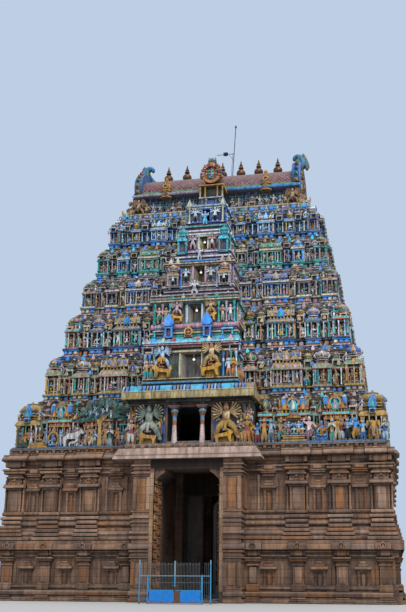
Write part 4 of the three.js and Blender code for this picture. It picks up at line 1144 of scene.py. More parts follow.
def bay_sides(number, half, z0, z1, posts, clothes):
    """Posts with figures between them on the two flanks of a bay, under a moulding, on a painted foot."""
    face, front = SIZES[number]["face_y"], bay_y[number]
    count = max(2, round((front - face) / 0.62))
    for s in SIDES:
        for k in range(count + 1):
            y = -front + 0.1 + (front - face - 0.1) * k / count
            stand("post", s * (half + 0.1), y, z0, 0.17, 0.17, z1 - z0,
                  {POST: posts[k % len(posts)], TRIM: "sand"})
            if k < count:
                stand(chance.choice(poses), s * (half + 0.14), y + (front - face) / count / 2, z0,
                      0.8 * (z1 - z0), 0.8 * (z1 - z0), 0.85 * (z1 - z0), dressed(chance.choice(clothes)),
                      turn=s * math.pi / 2)
                stand("arch", s * (half + 0.08), y + (front - face) / count / 2, z1 + 0.1, 0.3, 0.42, 0.5,
                      {TRIM: posts[-1], FINIAL: "sky", INSET: "navy", BASE: "white"}, turn=s * math.pi / 2)
        for z, paint in ((z1, posts[0]), (z0 - 0.12, posts[-1])):
            cast("course", (s * (half - 0.1), -front, z), (s * (half + 0.26), -face, z + 0.12), paint)

# %% [markdown]
# ### The balcony over the portal
# The lowest bay is an open loggia: two turned columns with painted rings and maroon capitals carry a deep
# eave, and a guardian on a golden lion stands at each side. The columns are turned by drawing rings of a
# circle in and out, and each ring keeps its own colour.

# %% Balcony
begin("column")  # roles: shaft, green, blue, orange, maroon
stack(0, 0, [(0, 0.4), (0.05, 0.42), (0.07, 0.36), (0.16, 0.36), (0.18, 0.33), (0.44, 0.27), 3, (0.5, 0.26),
             (0.56, 0.3), 2, (0.6, 0.24), (0.66, 0.3), 3, (0.68, 0.36), (0.74, 0.42), 1, (0.76, 0.5), 2,
             (0.8, 0.5), 1, (0.82, 0.42), 4, (0.85, 0.3), (0.87, 0.5)], 0, sides=20)
stack(0, 0, [(0.84, 0.5, 0.4), (0.87, 0.6, 0.5), (0.9, 0.76, 0.5), (0.92, 0.8, 0.5), (0.93, 0.5, 0.4)], 4)
stack(0, 0, [(0.93, 0.34, 0.3), (1.0, 0.34, 0.3)], 5)
keep()
# a course whose front leans back with the slope of the eave
stacked("tile", [(0, 0.5), (1, 0.5, 0.15)])
stacked("rod", [(0, 0.46), (0.02, 0.5), (0.98, 0.5), (1, 0.46)], sides=10)
# role 5, the block on top of each column, is painted near black: painted shade under the eave
column_paint = {0: 0xd9bcb2, 1: 0x5fa08e, 2: 0x6f9fc4, 3: 0xb06a3c, 4: 0x76404a, 5: "dark"}
for x in (-0.95, 0.95):
    stand("column", x, -11.04, 10.1, 0.5, 0.5, 2.78, column_paint)
cast("course", (-1.5, -11.2, 10.06), (1.5, -10.88, 10.2), "brown")
# the beam over the columns is painted near black: painted shade under the eave
cast("course", (-1.5, -11.24, 12.86), (1.5, -10.84, 13.06), "dark")
pair("{}_balcony_columns", "painted_stone_column", "{}_balcony_frame")

y = bay_y[1]
for s, x, clothes in ((-1, -2.72, pale_guard), (1, 2.56, gold_guard)):
    pose("guardian", x, -y - 0.3, 10.3, 2.5, clothes)
    stand("lion", x - 0.1, -y - 0.42, 10.08, 1.4, 1.1, 0.95, gold_lion, flip=s < 0)
    cast("block", (x - 0.5, -y - 0.3, 10.08), (x + 0.5, -y, 10.7), "ochre")
    cast("block", (x - 0.44, -y - 0.26, 10.68), (x + 0.44, -y, 11.3), "maroon")
    pose("seated", x, -y - 0.46, 10.85, 0.75, chance.choice(bright_clothes))
    for k in range(5):  # attendants crowd in beside the guardian
        pose(chance.choice(poses), s * (3.35 + 0.2 * k), -y - 0.2, 10.12, chance.uniform(1.0, 1.7),
             chance.choice(bright_clothes))
        pose(chance.choice(poses), s * (3.3 + 0.22 * k), -y - 0.1, 11.5, chance.uniform(0.7, 1.0),
             chance.choice(bright_clothes + muted_clothes))
    for k in range(3):
        pose(chance.choice(poses), s * (2.0 + 0.28 * k), -y - 0.12, 10.9, chance.uniform(0.8, 1.1),
             chance.choice(muted_clothes))
    for x in (1.72, 1.95, 3.75, 4.05):
        stand("post", s * x, -y - 0.12, 10.1, 0.2, 0.2, 2.6,
              {POST: "royal" if x < 1.8 else "brown", TRIM: "ochre"})
    cast("block", (s * 1.78 - 0.2, -y - 0.12, 10.8), (s * 1.78 + 0.2, -y, 11.7), "royal")
    cast("block", (s * 3.3 - 0.25, -y - 0.1, 10.5), (s * 3.3 + 0.25, -y, 11.6), "navy")
    pose("standing", s * 3.95, -y - 0.28, 10.12, 1.75, chance.choice(bright_clothes))
    pose("praying", s * 4.05, -y + 0.5, 10.12, 1.6, chance.choice(bright_clothes))
door_frame(1.5, 10.2, 12.6, y, 0.14, "brown", "maroon")
# the top course, under the eave, is painted near black: painted shade
courses(4.2, y + 0.12, y - 0.2, [(10.1, 10.3, 0.0, "slate"), (12.78, 12.92, 0.0, "brown"),
                                 (12.92, 13.06, 0.1, "dark")])
# the eave: a fascia of mottled panels, then painted tiles on the slope, over a soffit painted near black as
# painted shade
edge = 11.72
cast("block", (-4.48, -edge + 0.03, 13.1), (4.48, -10.0, 13.58), "brown")
cast("block", (-4.42, -edge + 0.1, 13.06), (4.42, -10.0, 13.12), "dark")  # the soffit, painted near black as painted shade
cast("tile", (-4.46, -edge + 0.06, 13.56), (4.46, -9.9, 14.04), "tan")
for x in (-3.55, -1.45, 0.65, 2.75):  # cyan panels between small blue ones, on a tan ground
    for low, high, paint in ((-0.4, 0.4, 0x27c4ec), (-0.68, -0.5, "sky"), (0.5, 0.68, "sky"),
                             (-0.9, -0.78, "ice"), (0.78, 0.88, "salmon"), (0.98, 1.12, "sky")):
        cast("tile", (x + low, -edge + 0.02, 13.6), (x + high, -edge + 0.6, 13.98), paint, vary=0.04)
count = 26
for k in range(count):
    x0, x1 = -4.5 + 9 * k / count, -4.5 + 9 * (k + 1) / count
    cast("block", (x0, -edge, 13.06), (x1, -edge + 0.2, 13.52),
         chance.choice([0xb5a06a, 0xa08a55, 0xc4b078, 0xad9260]), vary=0.03)
    if k % 2:
        cast("leaf", (x0, -edge - 0.015, 13.18), (x0 + 0.18, -edge + 0.1, 13.4),
             one_of("salmon orange gold orange"))
cast("roll", (-4.5, -edge - 0.015, 13.5), (4.5, -edge + 0.3, 13.6), "sand")
for s in SIDES:
    for k in range(7):
        y0, y1 = -edge + 0.3 + 0.42 * k, -edge + 0.3 + 0.42 * (k + 1)
        cast("block", (s * 4.4 - 0.1, y0, 13.06), (s * 4.4 + 0.1, y1, 13.6), one_of("ochre sand tan"))
pair("{}_balcony_guardians", "painted_plaster_1", "{}_balcony_eave")

# %% Bays of storeys 2 and 3
y = bay_y[2]
courses(3.0, y + 0.1, y - 0.3, [(13.75, 13.96, 0.1, "brown"), (13.96, 14.2, 0.2, "slate"),
                                (14.2, 14.38, 0.36, "river", "roll"), (14.38, 14.48, 0.2, "tan"),
                                (14.5, 14.6, 0.32, "sand")])
door_frame(0.73, 14.6, 16.53, y, 0.07, "cream", "leaf")
guardian(-1.95, y, 14.6, 2.3, blue_guard, gold_lion)
guardian(1.5, y, 14.6, 2.4, gold_guard, gold_lion)
for x, paint in ((-3.2, "ice"), (-2.88, "sky"), (-2.55, "ice"), (2.28, "sky"), (2.55, "brick"), (2.8, "sea"),
                 (3.15, "ice")):
    stand("post", x, -y - 0.22, 14.6, 0.2, 0.2, 1.75, {POST: paint, TRIM: "white"})
for x in (-3.04, -2.7, 2.68, 3.0):
    pose(chance.choice(poses), x, -y - 0.3, 14.6, 1.3, chance.choice(bright_clothes))
courses(3.0, y, y - 0.4, [(16.4, 16.58, 0.22, "sand", "roll"), (16.74, 16.94, 0.22, "brick"),
                          (16.94, 17.05, 0.34, "pink")])
cast("flare", (-3.4, -y - 0.42, 17.05), (3.4, -y + 0.4, 17.36), {EAVE: "cyan", TRIM: "ice"})
for x, paint in ((-2.6, "sky"), (-1.19, "red"), (0.5, "red"), (2.17, "sky"), (-1.9, "cream"), (1.3, "cream"),
                 (2.8, "salmon"), (-3.1, "salmon")):
    stand("leaf", x, -y - 0.3, 17.02, 0.42, 0.2, 0.5, paint)
for x in (-3.05, 3.05):
    stand("kuta", x, -y + 0.15, 16.3, 0.9, 0.9, 1.1, "slate ice dark sky cyan pink white gold")

bay_sides(2, 3.0, 14.6, 16.3, ("ice", "sea", "sky", "brick"), bright_clothes)

y3 = bay_y[3]
courses(2.9, y3 + 0.05, y3 - 0.3, [(17.35, 17.6, 0.25, "slate"), (17.6, 17.72, 0.3, "cyan"),
                                   (17.72, 17.98, 0.16, "teal"), (17.98, 18.12, 0.25, "sand"),
                                   (18.12, 18.38, 0.12, "slate"), (18.38, 18.72, 0.22, "rose", "roll"),
                                   (18.72, 18.84, 0.1, "slate")])
for x in (-1.72, 1.02):
    stand("kuta", x, -y3 - 0.42, 17.62, 0.66, 0.6, 1.5, "sky sky maroon sky sky sky blue sky", vary=0.02)
    stand("leaf", x, -y3 - 0.68, 18.45, 0.78, 0.3, 0.95, 0x2f8fe6, vary=0.02)
    for s in SIDES:
        stand("post", x + s * 0.2, -y3 - 0.68, 17.66, 0.16, 0.12, 0.72, {POST: 0x2f8fe6, TRIM: "sky"})
stand("arch", -0.34, -y3 - 0.42, 17.68, 0.7, 0.3, 0.9, {TRIM: "ochre", INSET: "dark"})
pose("seated", -0.34, -y3 - 0.56, 17.7, 0.62, "red red gold flesh")
for x in (-2.45, 2.4):
    stand("kuta", x, -y3 - 0.1, 17.72, 0.9, 0.7, 0.95, "teal cyan dark ice cyan sky white gold")
door_frame(0.49, 18.84, 20.19, y3, 0.1, "ice", "sea")
guardian(-1.25, y3, 18.84, 1.55, pink_guard, gold_lion)
guardian(1.18, y3, 18.84, 1.55, gold_guard, gold_lion)
for x, paint in ((1.75, "teal"), (2.85, "teal"), (2.3, "pink")):
    for s in SIDES:
        stand("post", s * x, -y3 - 0.2, 18.72, 0.2, 0.2, 20.25 - 18.72, {POST: paint, TRIM: "cyan"})
for x in (-2.55, -2.02, 2.05, 2.6):
    pose(chance.choice(poses), x, -y3 - 0.26, 18.8, 1.2, chance.choice(muted_clothes))
courses(2.9, y3, y3 - 0.4, [(20.24, 20.36, 0.26, "deep"), (20.36, 20.5, 0.32, "sand"),
                            (20.5, 20.62, 0.36, "sea", "roll"), (20.62, 20.78, 0.2, "salmon"),
                            (20.78, 20.9, 0.3, "grey")])
for x in (-2.5, 2.4):
    stand("sala", x, -y3 + 0.2, 20.2, 1.1, 0.9, 0.85, "ice ice slate sky sky salmon white ochre")
for x in (-1.6, -0.8, 0, 0.8, 1.6):
    stand("leaf", x, -y3 - 0.22, 20.58, 0.3, 0.16, 0.4, one_of("sand salmon sea"))

bay_sides(3, 2.9, 18.84, 20.2, ("teal", "pink", "sand"), bright_clothes)

# %% Bays of storeys 4 to 6
y4 = bay_y[4]
courses(2.35, y4 + 0.05, y4 - 0.3, [(20.85, 21.1, 0.2, "ice"), (21.1, 21.25, 0.28, "cream"),
                                    (21.25, 21.5, 0.12, "slate"), (21.5, 21.62, 0.24, "pink"),
                                    (21.62, 21.85, 0.12, "grey"), (21.85, 22.0, 0.24, "white", "roll"),
                                    (22.0, 22.22, 0.14, "salmon")])
pose("small_guardian", -0.26, -y4 - 0.42, 21.1, 1.25, "white white grey ice")
door_frame(0.4, 22.22, 23.51, y4, 0.14, "pink", "salmon")
guardian(-0.98, y4, 22.22, 1.15, grey_guard, mould="small_guardian")
guardian(0.88, y4, 22.22, 1.15, grey_guard, mould="small_guardian")
for x, paint in ((-2.15, "white"), (-1.32, "sky"), (1.37, "ice"), (2.32, "lilac")):
    stand("post", x, -y4 - 0.25, 21.75, 0.2, 0.2, 1.55, {POST: paint, TRIM: "salmon"})
for s in SIDES:
    stand("kuta", s * 1.9, -y4 - 0.1, 21.85, 0.95, 0.8, 1.95,
          "grey pink dark orange salmon cream white ochre")
    pose("small_guardian", s * 1.88, -y4 - 0.42, 21.95, 0.95, grey_guard)
courses(2.35, y4, y4 - 0.4, [(23.52, 23.66, 0.2, "tan"), (23.66, 23.78, 0.32, "cream"),
                             (23.9, 24.0, 0.2, "pink")])
cast("course", (-1.3, -y4 - 0.38, 23.78), (1.4, -y4 + 0.3, 23.92), "sky")
for x in (-2.1, -1.6, 1.75, 2.2):
    stand("leaf", x, -y4 - 0.2, 23.72, 0.34, 0.2, 0.5, one_of("cream sand pink"))

bay_sides(4, 2.35, 22.22, 23.4, ("lilac", "sky", "salmon"), muted_clothes)

y5 = bay_y[5]
courses(1.9, y5 + 0.05, y5 - 0.3, [(24.0, 24.2, 0.2, "white"), (24.2, 24.36, 0.26, "rose"),
                                   (24.36, 24.6, 0.1, "grey"), (24.6, 24.76, 0.24, "white"),
                                   (24.76, 25.0, 0.1, "lilac"), (25.0, 25.14, 0.24, "white", "roll"),
                                   (25.14, 25.3, 0.12, "rose")])
pose("four_armed", -0.22, -y5 - 0.4, 24.3, 1.05, "white white grey white")
door_frame(0.29, 25.3, 26.3, y5, 0.13, "white", "cream")
guardian(-0.8, y5, 25.3, 1.15, pink_guard, mould="small_guardian")
guardian(0.68, y5, 25.3, 1.15, "salmon orange white cream", mould="small_guardian")
for s in SIDES:
    stand("kuta", s * 1.58, -y5 - 0.08, 24.9, 0.8, 0.7, 2.25, "slate teal navy cyan teal cyan teal teal",
          vary=0.03)
    pose("standing", s * 1.25, -y5 - 0.25, 25.14, 1.05, "rose maroon gold cream")
    stand("post", s * 1.84, -y5 - 0.32, 24.9, 0.17, 0.17, 1.3, {POST: 0x21bdb8, TRIM: "cyan"})
courses(1.75, y5, y5 - 0.4, [(26.3, 26.44, 0.12, "salmon"), (26.44, 26.6, 0.2, "white"),
                             (26.6, 26.74, 0.08, "maroon")])

bay_sides(5, 1.9, 25.2, 26.2, ("teal", "rose", "white"), muted_clothes)

y6 = bay_y[6]
courses(1.4, y6 + 0.05, y6 - 0.3, [(26.85, 27.05, 0.15, "brick"), (27.05, 27.2, 0.22, "white"),
                                   (27.2, 27.42, 0.1, "maroon"), (27.42, 27.58, 0.2, "sea"),
                                   (27.58, 27.74, 0.1, "brick", "roll"), (27.74, 27.9, 0.18, "royal")])
door_frame(0.28, 27.9, 28.9, y6, 0.13, "blue", "royal")
pose("four_armed", -0.04, -y6 - 0.3, 27.6, 1.1, "ice cyan white ice")
for x in (-0.82, 0.72):
    guardian(x, y6, 27.8, 1.25, grey_guard, mould="small_guardian")
for s in SIDES:
    stand("post", s * 1.3, -y6 - 0.2, 27.75, 0.2, 0.2, 1.4, {POST: "cream", TRIM: "tan"})
    stand("leaf", s * 1.3, -y6 - 0.2, 29.1, 0.34, 0.3, 0.7, "cream")
courses(1.3, y6, y6 - 0.4, [(28.98, 29.1, 0.2, "cream"), (29.1, 29.2, 0.3, "ice", "roll"),
                            (29.2, 29.32, 0.2, "grey")])
bay_sides(6, 1.4, 27.8, 28.9, ("blue", "ochre", "white"), blue_clothes)
pair("{}_middle_bays", "painted_plaster_3")

# %% [markdown]
# ### Lamp-lit rooms behind the windows
# Behind each window is a small room lined with grey plaster and boards, where a glass globe hangs from the
# soffit by day as well as by night. Its light is made part of the finish: the lining gives a little light
# of its own colour, most on the reveal at the left, and the globe gives a lot.

# %% Window rooms
def glowing(name, strength):
    """Plaster or glass that also gives light of its own colour."""
    material = painted_plaster(name)
    shader = material.node_tree.nodes["Principled BSDF"]
    material.node_tree.links.new(shader.inputs["Base Color"].links[0].from_socket,
                                 shader.inputs["Emission Color"])
    shader.inputs["Emission Strength"].default_value = strength
    return material


# roles: glass, holder
stacked("globe", [(0, 0.12), (0.08, 0.34), (0.26, 0.5), (0.42, 0.42), (0.56, 0.24), POST, (0.6, 0.28),
                  (0.85, 0.24), (1.0, 0.1)], sides=12)
ROOMS = [(2, 0.73, 14.6, 16.53, (0xa69b90, 0x76706b, 0x5e5955, 0x6a6560, 0x4a4541)),
         (3, 0.49, 18.84, 20.19, (0x9c8e7c, 0x85796a, 0x786c5f, 0x665b50, 0x54493f)),
         (4, 0.4, 22.22, 23.51, (0xa59068, 0x7a6c58, 0x63574a, 0x52483e, 0x423931)),
         (5, 0.29, 25.3, 26.3, (0xbca65c, 0x93814f, 0x786a4c, 0x5f5443, 0x4c4338))]
for number, half, sill, head, tones in ROOMS:
    front, back = -bay_y[number] + 0.08, -bay_y[number] + 1.5
    cast("block", (-half, front, sill), (-half + 0.03, back, head), tones[0])
    cast("block", (half - 0.03, front, sill), (half, back, head), tones[4])
    cast("block", (-half, front, head - 0.03), (half, back, head), 0x35302c)
    for k in range(4):  # boards of the screen at the back
        cast("block", (-half + half * k / 2 + 0.01, back - 0.02 * (k % 2), sill),
             (-half + half * (k + 1) / 2, back + 0.05, head), tones[1 + k])
    for x in (-0.45 * half, 0.5 * half):
        cast("block", (x - 0.02, back - 0.06, sill), (x + 0.02, back, head),
             0x5c6c7c if number == 2 else tones[2])
pair("{}_window_rooms", "plain_plaster", material=glowing("lamp_lit_plaster", 0.32))
for number, half, sill, head, tones in ROOMS:
    x, y, z = 0.26 * half - 0.12, -bay_y[number] + 0.5, head - 0.28 * (head - sill)
    stand("globe", x, y, z, 0.17, 0.17, 0.22, {BASE: 0xfff1d6, POST: 0x3a3430}, vary=0)
    stand("rod", x, y, z + 0.21, 0.03, 0.03, head - z - 0.21, 0x3a3430, vary=0)
pair("{}_window_lamps", "plain_plaster", material=glowing("lit_lamp_glass", 3.0))

# %% [markdown]
# ### The crowd on the lowest ledge
# In front of the lowest row stand large groups: a white cow and her calf, cowherds under a tree full of
# small figures, a throne with its court under a canopy, musicians and an elephant. They are casts of the
# same figures, nearly as tall as the storey, set at the places where the photograph shows them.

# %% Groups right of the balcony
LEDGE_Y = 9.66


def crowd(people):
    """Figures standing on the ledge: (x, height, mould, clothes)."""
    for x, high, mould, clothes in people:
        pose(mould, x, -LEDGE_Y, 10.2, high, clothes, chance.uniform(-0.35, 0.35))


strip("course", 4.35, 13.0, 9.98, 9.4, 10.09, 10.21, "slate")
strip("block", 6.0, 12.9, 9.92, 9.4, 10.2, 10.28, "blue")
crowd([(4.42, 1.4, "standing", "sky red ice gold"), (4.88, 1.68, "standing", "orange tan gold gold"),
       (5.35, 1.66, "standing", "ice slate ice sand"), (5.66, 0.9, "praying", "flesh brown sand sand"),
       (5.98, 1.6, "dancing", "tan teal red leaf"), (7.86, 1.75, "dancing", "pink rose white white"),
       (8.25, 0.7, "seated", "leaf stone grey sea"), (9.4, 1.6, "praying", "white sea sand white"),
       (9.75, 1.7, "four_armed", "gold sand gold gold"), (9.99, 1.62, "standing", "rose ice maroon brown"),
       (10.42, 1.6, "four_armed", "ice dark ice slate"), (10.9, 1.6, "dancing", "sky ochre orange sky"),
       (11.15, 1.0, "standing", "leaf deep sand leaf"), (11.42, 1.45, "standing", "ice blue white slate"),
       (12.82, 1.5, "praying", "white ice blue sand"), (12.5, 1.0, "standing", "ice slate gold gold")])
stand("elephant", 12.08, -LEDGE_Y + 0.1, 10.24, 1.35, 1.1, 1.65, dressed("lion tan ochre slate"))
# the court: a low bench, a seated pair among attendants, and an oval canopy behind their heads
for z, half, paint in ((10.26, 0.86, "ochre"), (10.42, 0.72, "gold"), (10.56, 0.8, "ochre")):
    cast("course", (6.88 - half, -LEDGE_Y - 0.22, z), (6.88 + half, -LEDGE_Y + 0.2, z + 0.12), paint)
for k, x in enumerate((6.3, 6.55, 6.88, 7.2, 7.45)):
    pose("seated" if k % 2 == 0 else "four_armed", x, -LEDGE_Y - 0.02, 10.66, 0.86 if k % 2 == 0 else 1.0,
         dressed(("sky", "ice")[k % 2], ("gold", "orange", "teal")[k % 3], "white", "gold"))
for k in range(7):
    pose("praying", 6.28 + 0.2 * k, -LEDGE_Y + 0.22, 10.9, 0.9,
         dressed("ice", "blue", "gold", ("gold", "sky")[k % 2]))
stacked("canopy", [(0, 0.46), (0.1, 0.5), TRIM, (0.3, 0.5), BASE, (0.45, 0.46), (0.8, 0.28), (1, 0.06)],
        sides=12)
stand("canopy", 6.86, -LEDGE_Y + 0.1, 11.78, 1.0, 0.7, 0.5, {BASE: "brown", TRIM: "gold"})
# the player on a stool
stand("block", 8.72, -LEDGE_Y, 10.24, 0.7, 0.4, 0.3, "blue")
pose("seated", 8.72, -LEDGE_Y - 0.02, 10.5, 1.15, "sky lion orange brown")
place_cast("rod", slanted((8.6, -LEDGE_Y - 0.32, 10.75), "Y", 1.0, (0.08, 0.08, 0.9)), "ochre")
# dormer arches above the eave, as the solids' shrines have them
for x, wide in ((6.8, 1.05), (9.62, 0.95)):
    for s in SIDES:
        stand("arch", s * x, -9.32, 12.44, wide, 0.4, 1.12, {TRIM: "orange", FINIAL: "cyan", INSET: "teal"})
        pose("standing", s * x, -9.46, 12.6, 0.66, "pink rose white pink")
        for shift in (-0.62, 0.62):
            stand("block", s * x + shift, -9.3, 12.75, 0.3, 0.3, 0.44, "sky")
            stand("leaf", s * x + shift, -9.3, 13.19, 0.3, 0.3, 0.26, "ice")
for s in SIDES:  # the bright dormers of the corner domes
    stand("leaf", s * 12.06, -9.52, 12.42, 0.62, 0.3, 0.95, "sky", vary=0.02)
    stand("leaf", s * 12.06, -9.62, 12.5, 0.3, 0.2, 0.5, "cyan")
    stand("kuta", s * 12.06, -9.6, 12.02, 0.46, 0.3, 0.6, "orange cyan navy ice cyan sky sky gold")

# %% Groups left of the balcony
crowd([(-12.08, 1.15, "standing", "orange leaf gold brown"),
       (-11.64, 1.15, "standing", "pink white white sand"),
       (-9.48, 1.2, "standing", "ice ice white slate"), (-8.3, 0.75, "seated", "pink white rose sand"),
       (-7.5, 1.55, "dancing", "flesh flesh white sand"), (-7.22, 1.62, "standing", "tan cream gold gold"),
       (-6.95, 1.2, "praying", "ice slate white ice"), (-6.2, 1.6, "standing", "orange tan gold gold"),
       (-5.9, 1.52, "praying", "white ice leaf ice"), (-5.27, 1.35, "standing", "orange brick gold gold"),
       (-4.98, 1.0, "four_armed", "ice slate white ice"), (-4.7, 1.2, "standing", "tan slate gold sand"),
       (-4.42, 1.3, "dancing", "brick ochre gold gold"), (-6.55, 1.0, "standing", "ice ice white slate")])
stand("cow", -8.5, -LEDGE_Y - 0.05, 10.22, 1.5, 1.5, 1.3, dressed("white white white pink"), vary=0.02)
stand("cow", -8.42, -LEDGE_Y - 0.28, 10.22, 0.62, 0.62, 0.5, dressed("white white white white"), vary=0.02)
pose("seated", -8.3, -LEDGE_Y + 0.1, 11.2, 0.7, "rose pink white sand")
for x, paint in ((-12.68, "deep"), (-12.36, "leaf"), (-11.36, "white"), (-11.22, "dark"), (-11.08, "white"),
                 (-10.94, "dark")):
    stand("post", x, -LEDGE_Y + 0.1, 10.22, 0.17, 0.17, 1.5, paint)
for k in range(5):  # a stepped gilded seat with a resting figure
    cast("course", (-11.75 + 0.13 * k, -LEDGE_Y - 0.3 + 0.04 * k, 10.21 + 0.11 * k),
         (-10.35 - 0.13 * k, -LEDGE_Y + 0.2, 10.32 + 0.11 * k), ("gold", "tan")[k % 2])
pose("seated", -11.0, -LEDGE_Y - 0.1, 10.68, 0.8, "tan lion orange gold")
stand("leaf", -12.2, -LEDGE_Y - 0.14, 10.2, 0.8, 0.4, 0.5, "deep")
stand("arch", -9.98, -LEDGE_Y + 0.02, 10.15, 0.95, 0.34, 1.6, {TRIM: "ochre", FINIAL: "brown", INSET: "navy"})
pose("seated", -10.02, -LEDGE_Y - 0.12, 10.3, 0.85, "sky cyan red sky")
# the tree: a gilded trunk with branches, and a canopy of hanging leaves with small figures in it
stand("tree", -6.62, -LEDGE_Y - 0.02, 10.22, 1.5, 1.0, 2.5, 0xc09242)
for k in range(150):
    angle, level = chance.uniform(-0.12, math.pi + 0.12), math.sqrt(chance.uniform(0.05, 1))
    x, z = -6.4 + 1.75 * level * math.cos(angle), 12.15 + 1.32 * level * math.sin(angle)
    aim = math.pi / 2 - angle if level > 0.6 else chance.uniform(-0.8, 0.8)
    y = -LEDGE_Y + 0.24 - 0.3 * math.sqrt(1 - 0.9 * level ** 2)
    place_cast("leaf", slanted((x, y, z), "Y", aim, (0.17, 0.14, 0.36)),
               chance.choice([0x24564f, 0x2f6f66, 0x1c4340, 0x3b7a6c]), vary=0.15)
for x, z in ((-7.3, 12.2), (-7.0, 12.5), (-6.85, 12.1), (-6.1, 12.6), (-5.8, 12.15), (-6.4, 12.3)):
    pose(one_of("dancing praying"), x, -LEDGE_Y - 0.2, z, 0.6,
         dressed("ice", one_of("white sky"), "white", "gold"))
pair("{}_ledge_groups", "painted_plaster_1")

# %% [markdown]
# ## The crown
# Above the sixth storey a painted neck carries a barrel roof with a lattice of pale diamonds, a great
# horseshoe gable with a curled horn at each end, a dormer in the middle of each long side, and seven
# copper finials on the ridge. The lattice is a square grid turned by 45 degrees, laid out along the ridge
# and round the barrel, so that it follows the curve.

# %% Roof finish
def lattice_plaster(name, ground, line, size=0.23, springing=32.2, radius=2.5):
    """Painted roof plaster with a diagonal lattice: size is the side of a diamond in metres."""
    material = painted_plaster(name)
    tree = material.node_tree
    faded = next(n for n in tree.nodes if n.type == "MIX" and n.blend_type == "MIX")
    parts = next(n for n in tree.nodes if n.type == "SEPXYZ").outputs
    rise = add_node(tree, "Math", [parts["Z"], springing], operation="SUBTRACT")
    angle = add_node(tree, "Math", [rise, parts["Y"]], operation="ARCTAN2")
    arc = add_node(tree, "Math", [angle, radius], operation="MULTIPLY")
    sheet = add_node(tree, "CombineXYZ", [parts["X"], arc])
    turned_sheet = add_node(tree, "Mapping", {"Vector": sheet, "Rotation": (0, 0, math.pi / 4)})
    grid = add_node(tree, "TexBrick", {"Vector": turned_sheet, "Scale": 1.0, "Color1": to_linear(ground),
                                       "Color2": to_linear(0x762c36), "Mortar": to_linear(line),
                                       "Mortar Size": 0.03, "Mortar Smooth": 0.3, "Brick Width": size,
                                       "Row Height": size}, offset=0.0)
    # near the ridge the diamonds end in a plain band
    crest = add_node(tree, "MapRange", [parts["Z"], 33.82, 33.9])
    field = add_node(tree, "Mix", {0: crest, 6: grid, 7: to_linear(0x866472)}, data_type="RGBA")
    tree.links.new(field.outputs[2], faded.inputs[6])
    return material


lattice = lattice_plaster("maroon_lattice_plaster", 0x581a22, 0x9e6f7b)
begin("barrel_shell")
barrel(-6.26, 6.26, 32.2, 2.84, 2.15, BASE, sides=56)
bpy.ops.mesh.select_all(action="SELECT")
bpy.ops.mesh.bisect(plane_co=(0, 0, 32.15), plane_no=(0, 0, 1), use_fill=True, clear_inner=True)
keep()
place_cast("barrel_shell", Matrix.Identity(4), "maroon")
gather("barrel_vault", ["barrel_roof"], material=lattice)

# the eave under the vault, bands along its foot and ridge
stacked("roof_eave", [(31.88, 6.9, 3.14), (31.98, 6.98, 3.2), 1, (32.1, 6.9, 3.14), 2, (32.28, 6.5, 2.96)])
place_cast("roof_eave", Matrix.Identity(4), {0: 0xa79cae, 1: 0xb8a8b4, 2: "green"})
for s, end, paint in ((-1, 6.2, "lilac"), (1, 6.9, "sky")):  # the half right of the arch is sky blue
    cast("course", (s, -3.24, 31.9), (s * end, -2.9, 32.1), paint)
    cast("course", (-s, 2.9, 31.9), (-s * end, 3.24, 32.1), paint)
    cast("roll", (-6.24, s * 2.82 - 0.1, 32.22), (6.24, s * 2.82 + 0.1, 32.42), "green")
cast("roll", (-6.26, -0.26, 34.26), (6.26, 0.26, 34.48), 0xa98c90)
# stepped ochre dormers that stand on the eave
begin("pot")
stack(0, 0, [(0, 0.5), (0.05, 0.5), (0.06, 0.42), (0.14, 0.4), TRIM, (0.15, 0.46), (0.2, 0.46), (0.21, 0.34),
             (0.3, 0.34), POST, (0.31, 0.42), (0.37, 0.42), (0.38, 0.3), (0.5, 0.34), (0.58, 0.37),
             (0.66, 0.3), (0.7, 0.18), TRIM, (0.71, 0.24), (0.76, 0.24), (0.78, 0.12), POST, (0.9, 0.16),
             (1, 0.02)], sides=8, turn=math.pi / 8)
horseshoe(0, -0.3, 0.5, 0.2, 0.12, 0.16, sides=8)
box(-0.12, 0.12, -0.46, -0.3, 0.07, 0.28, DARK)
keep()
for s in SIDES:
    for x in (-4.15, 4.15):
        y = s * 2.92
        stand("pot", x, y, 31.72, 1.05, 0.9, 1.9, {BASE: "tan", POST: "lion", TRIM: "ochre", DARK: "brown"},
              turn=0 if s < 0 else math.pi)
gather("roof_eave")

# %% [markdown]
# ### Gables and horns
# Each end of the barrel is closed by a horseshoe gable: a thick blue ring with a sunk field, flame leaves
# round it and a small shrine with a seated figure inside. The horn on top is a scroll. It is a tapering
# chain of points wrapped with the Skin modifier, like the figures.

# %% Gables
figure("horn", [[(6.6, 0, 34.7, 0.44), (6.84, 0, 35.2, 0.4), (6.86, 0, 35.66, 0.38), (6.66, 0, 36.0, 0.34),
                 (6.32, 0, 36.1, 0.27), (6.12, 0, 35.86, 0.2), (6.24, 0, 35.64, 0.12)],
                 [(6.6, 0, 34.7, 0.44), (6.2, 0, 34.78, 0.3), (5.8, 0, 34.5, 0.15)]], rounder=True)
for face in moulds["horn"].polygons:
    face.material_index = BASE
begin("gable_disc")
barrel(6.26, 6.86, 33.05, 3.0, 1.95, BASE, sides=36)
before = 1.0
for size, role, out in ((0.96, TRIM, 0.08), (0.86, BASE, 0.0), (0.82, FINIAL, -0.12), (0.7, ROOF, 0.0),
                        (0.66, INSET, -0.2)):
    draw_out((out, 0, 0))
    bpy.ops.transform.resize(value=(1, size / before, size / before), center_override=(0, 0, 33.05))
    before = size
    mark_sides(role)
    mark(role)
keep()
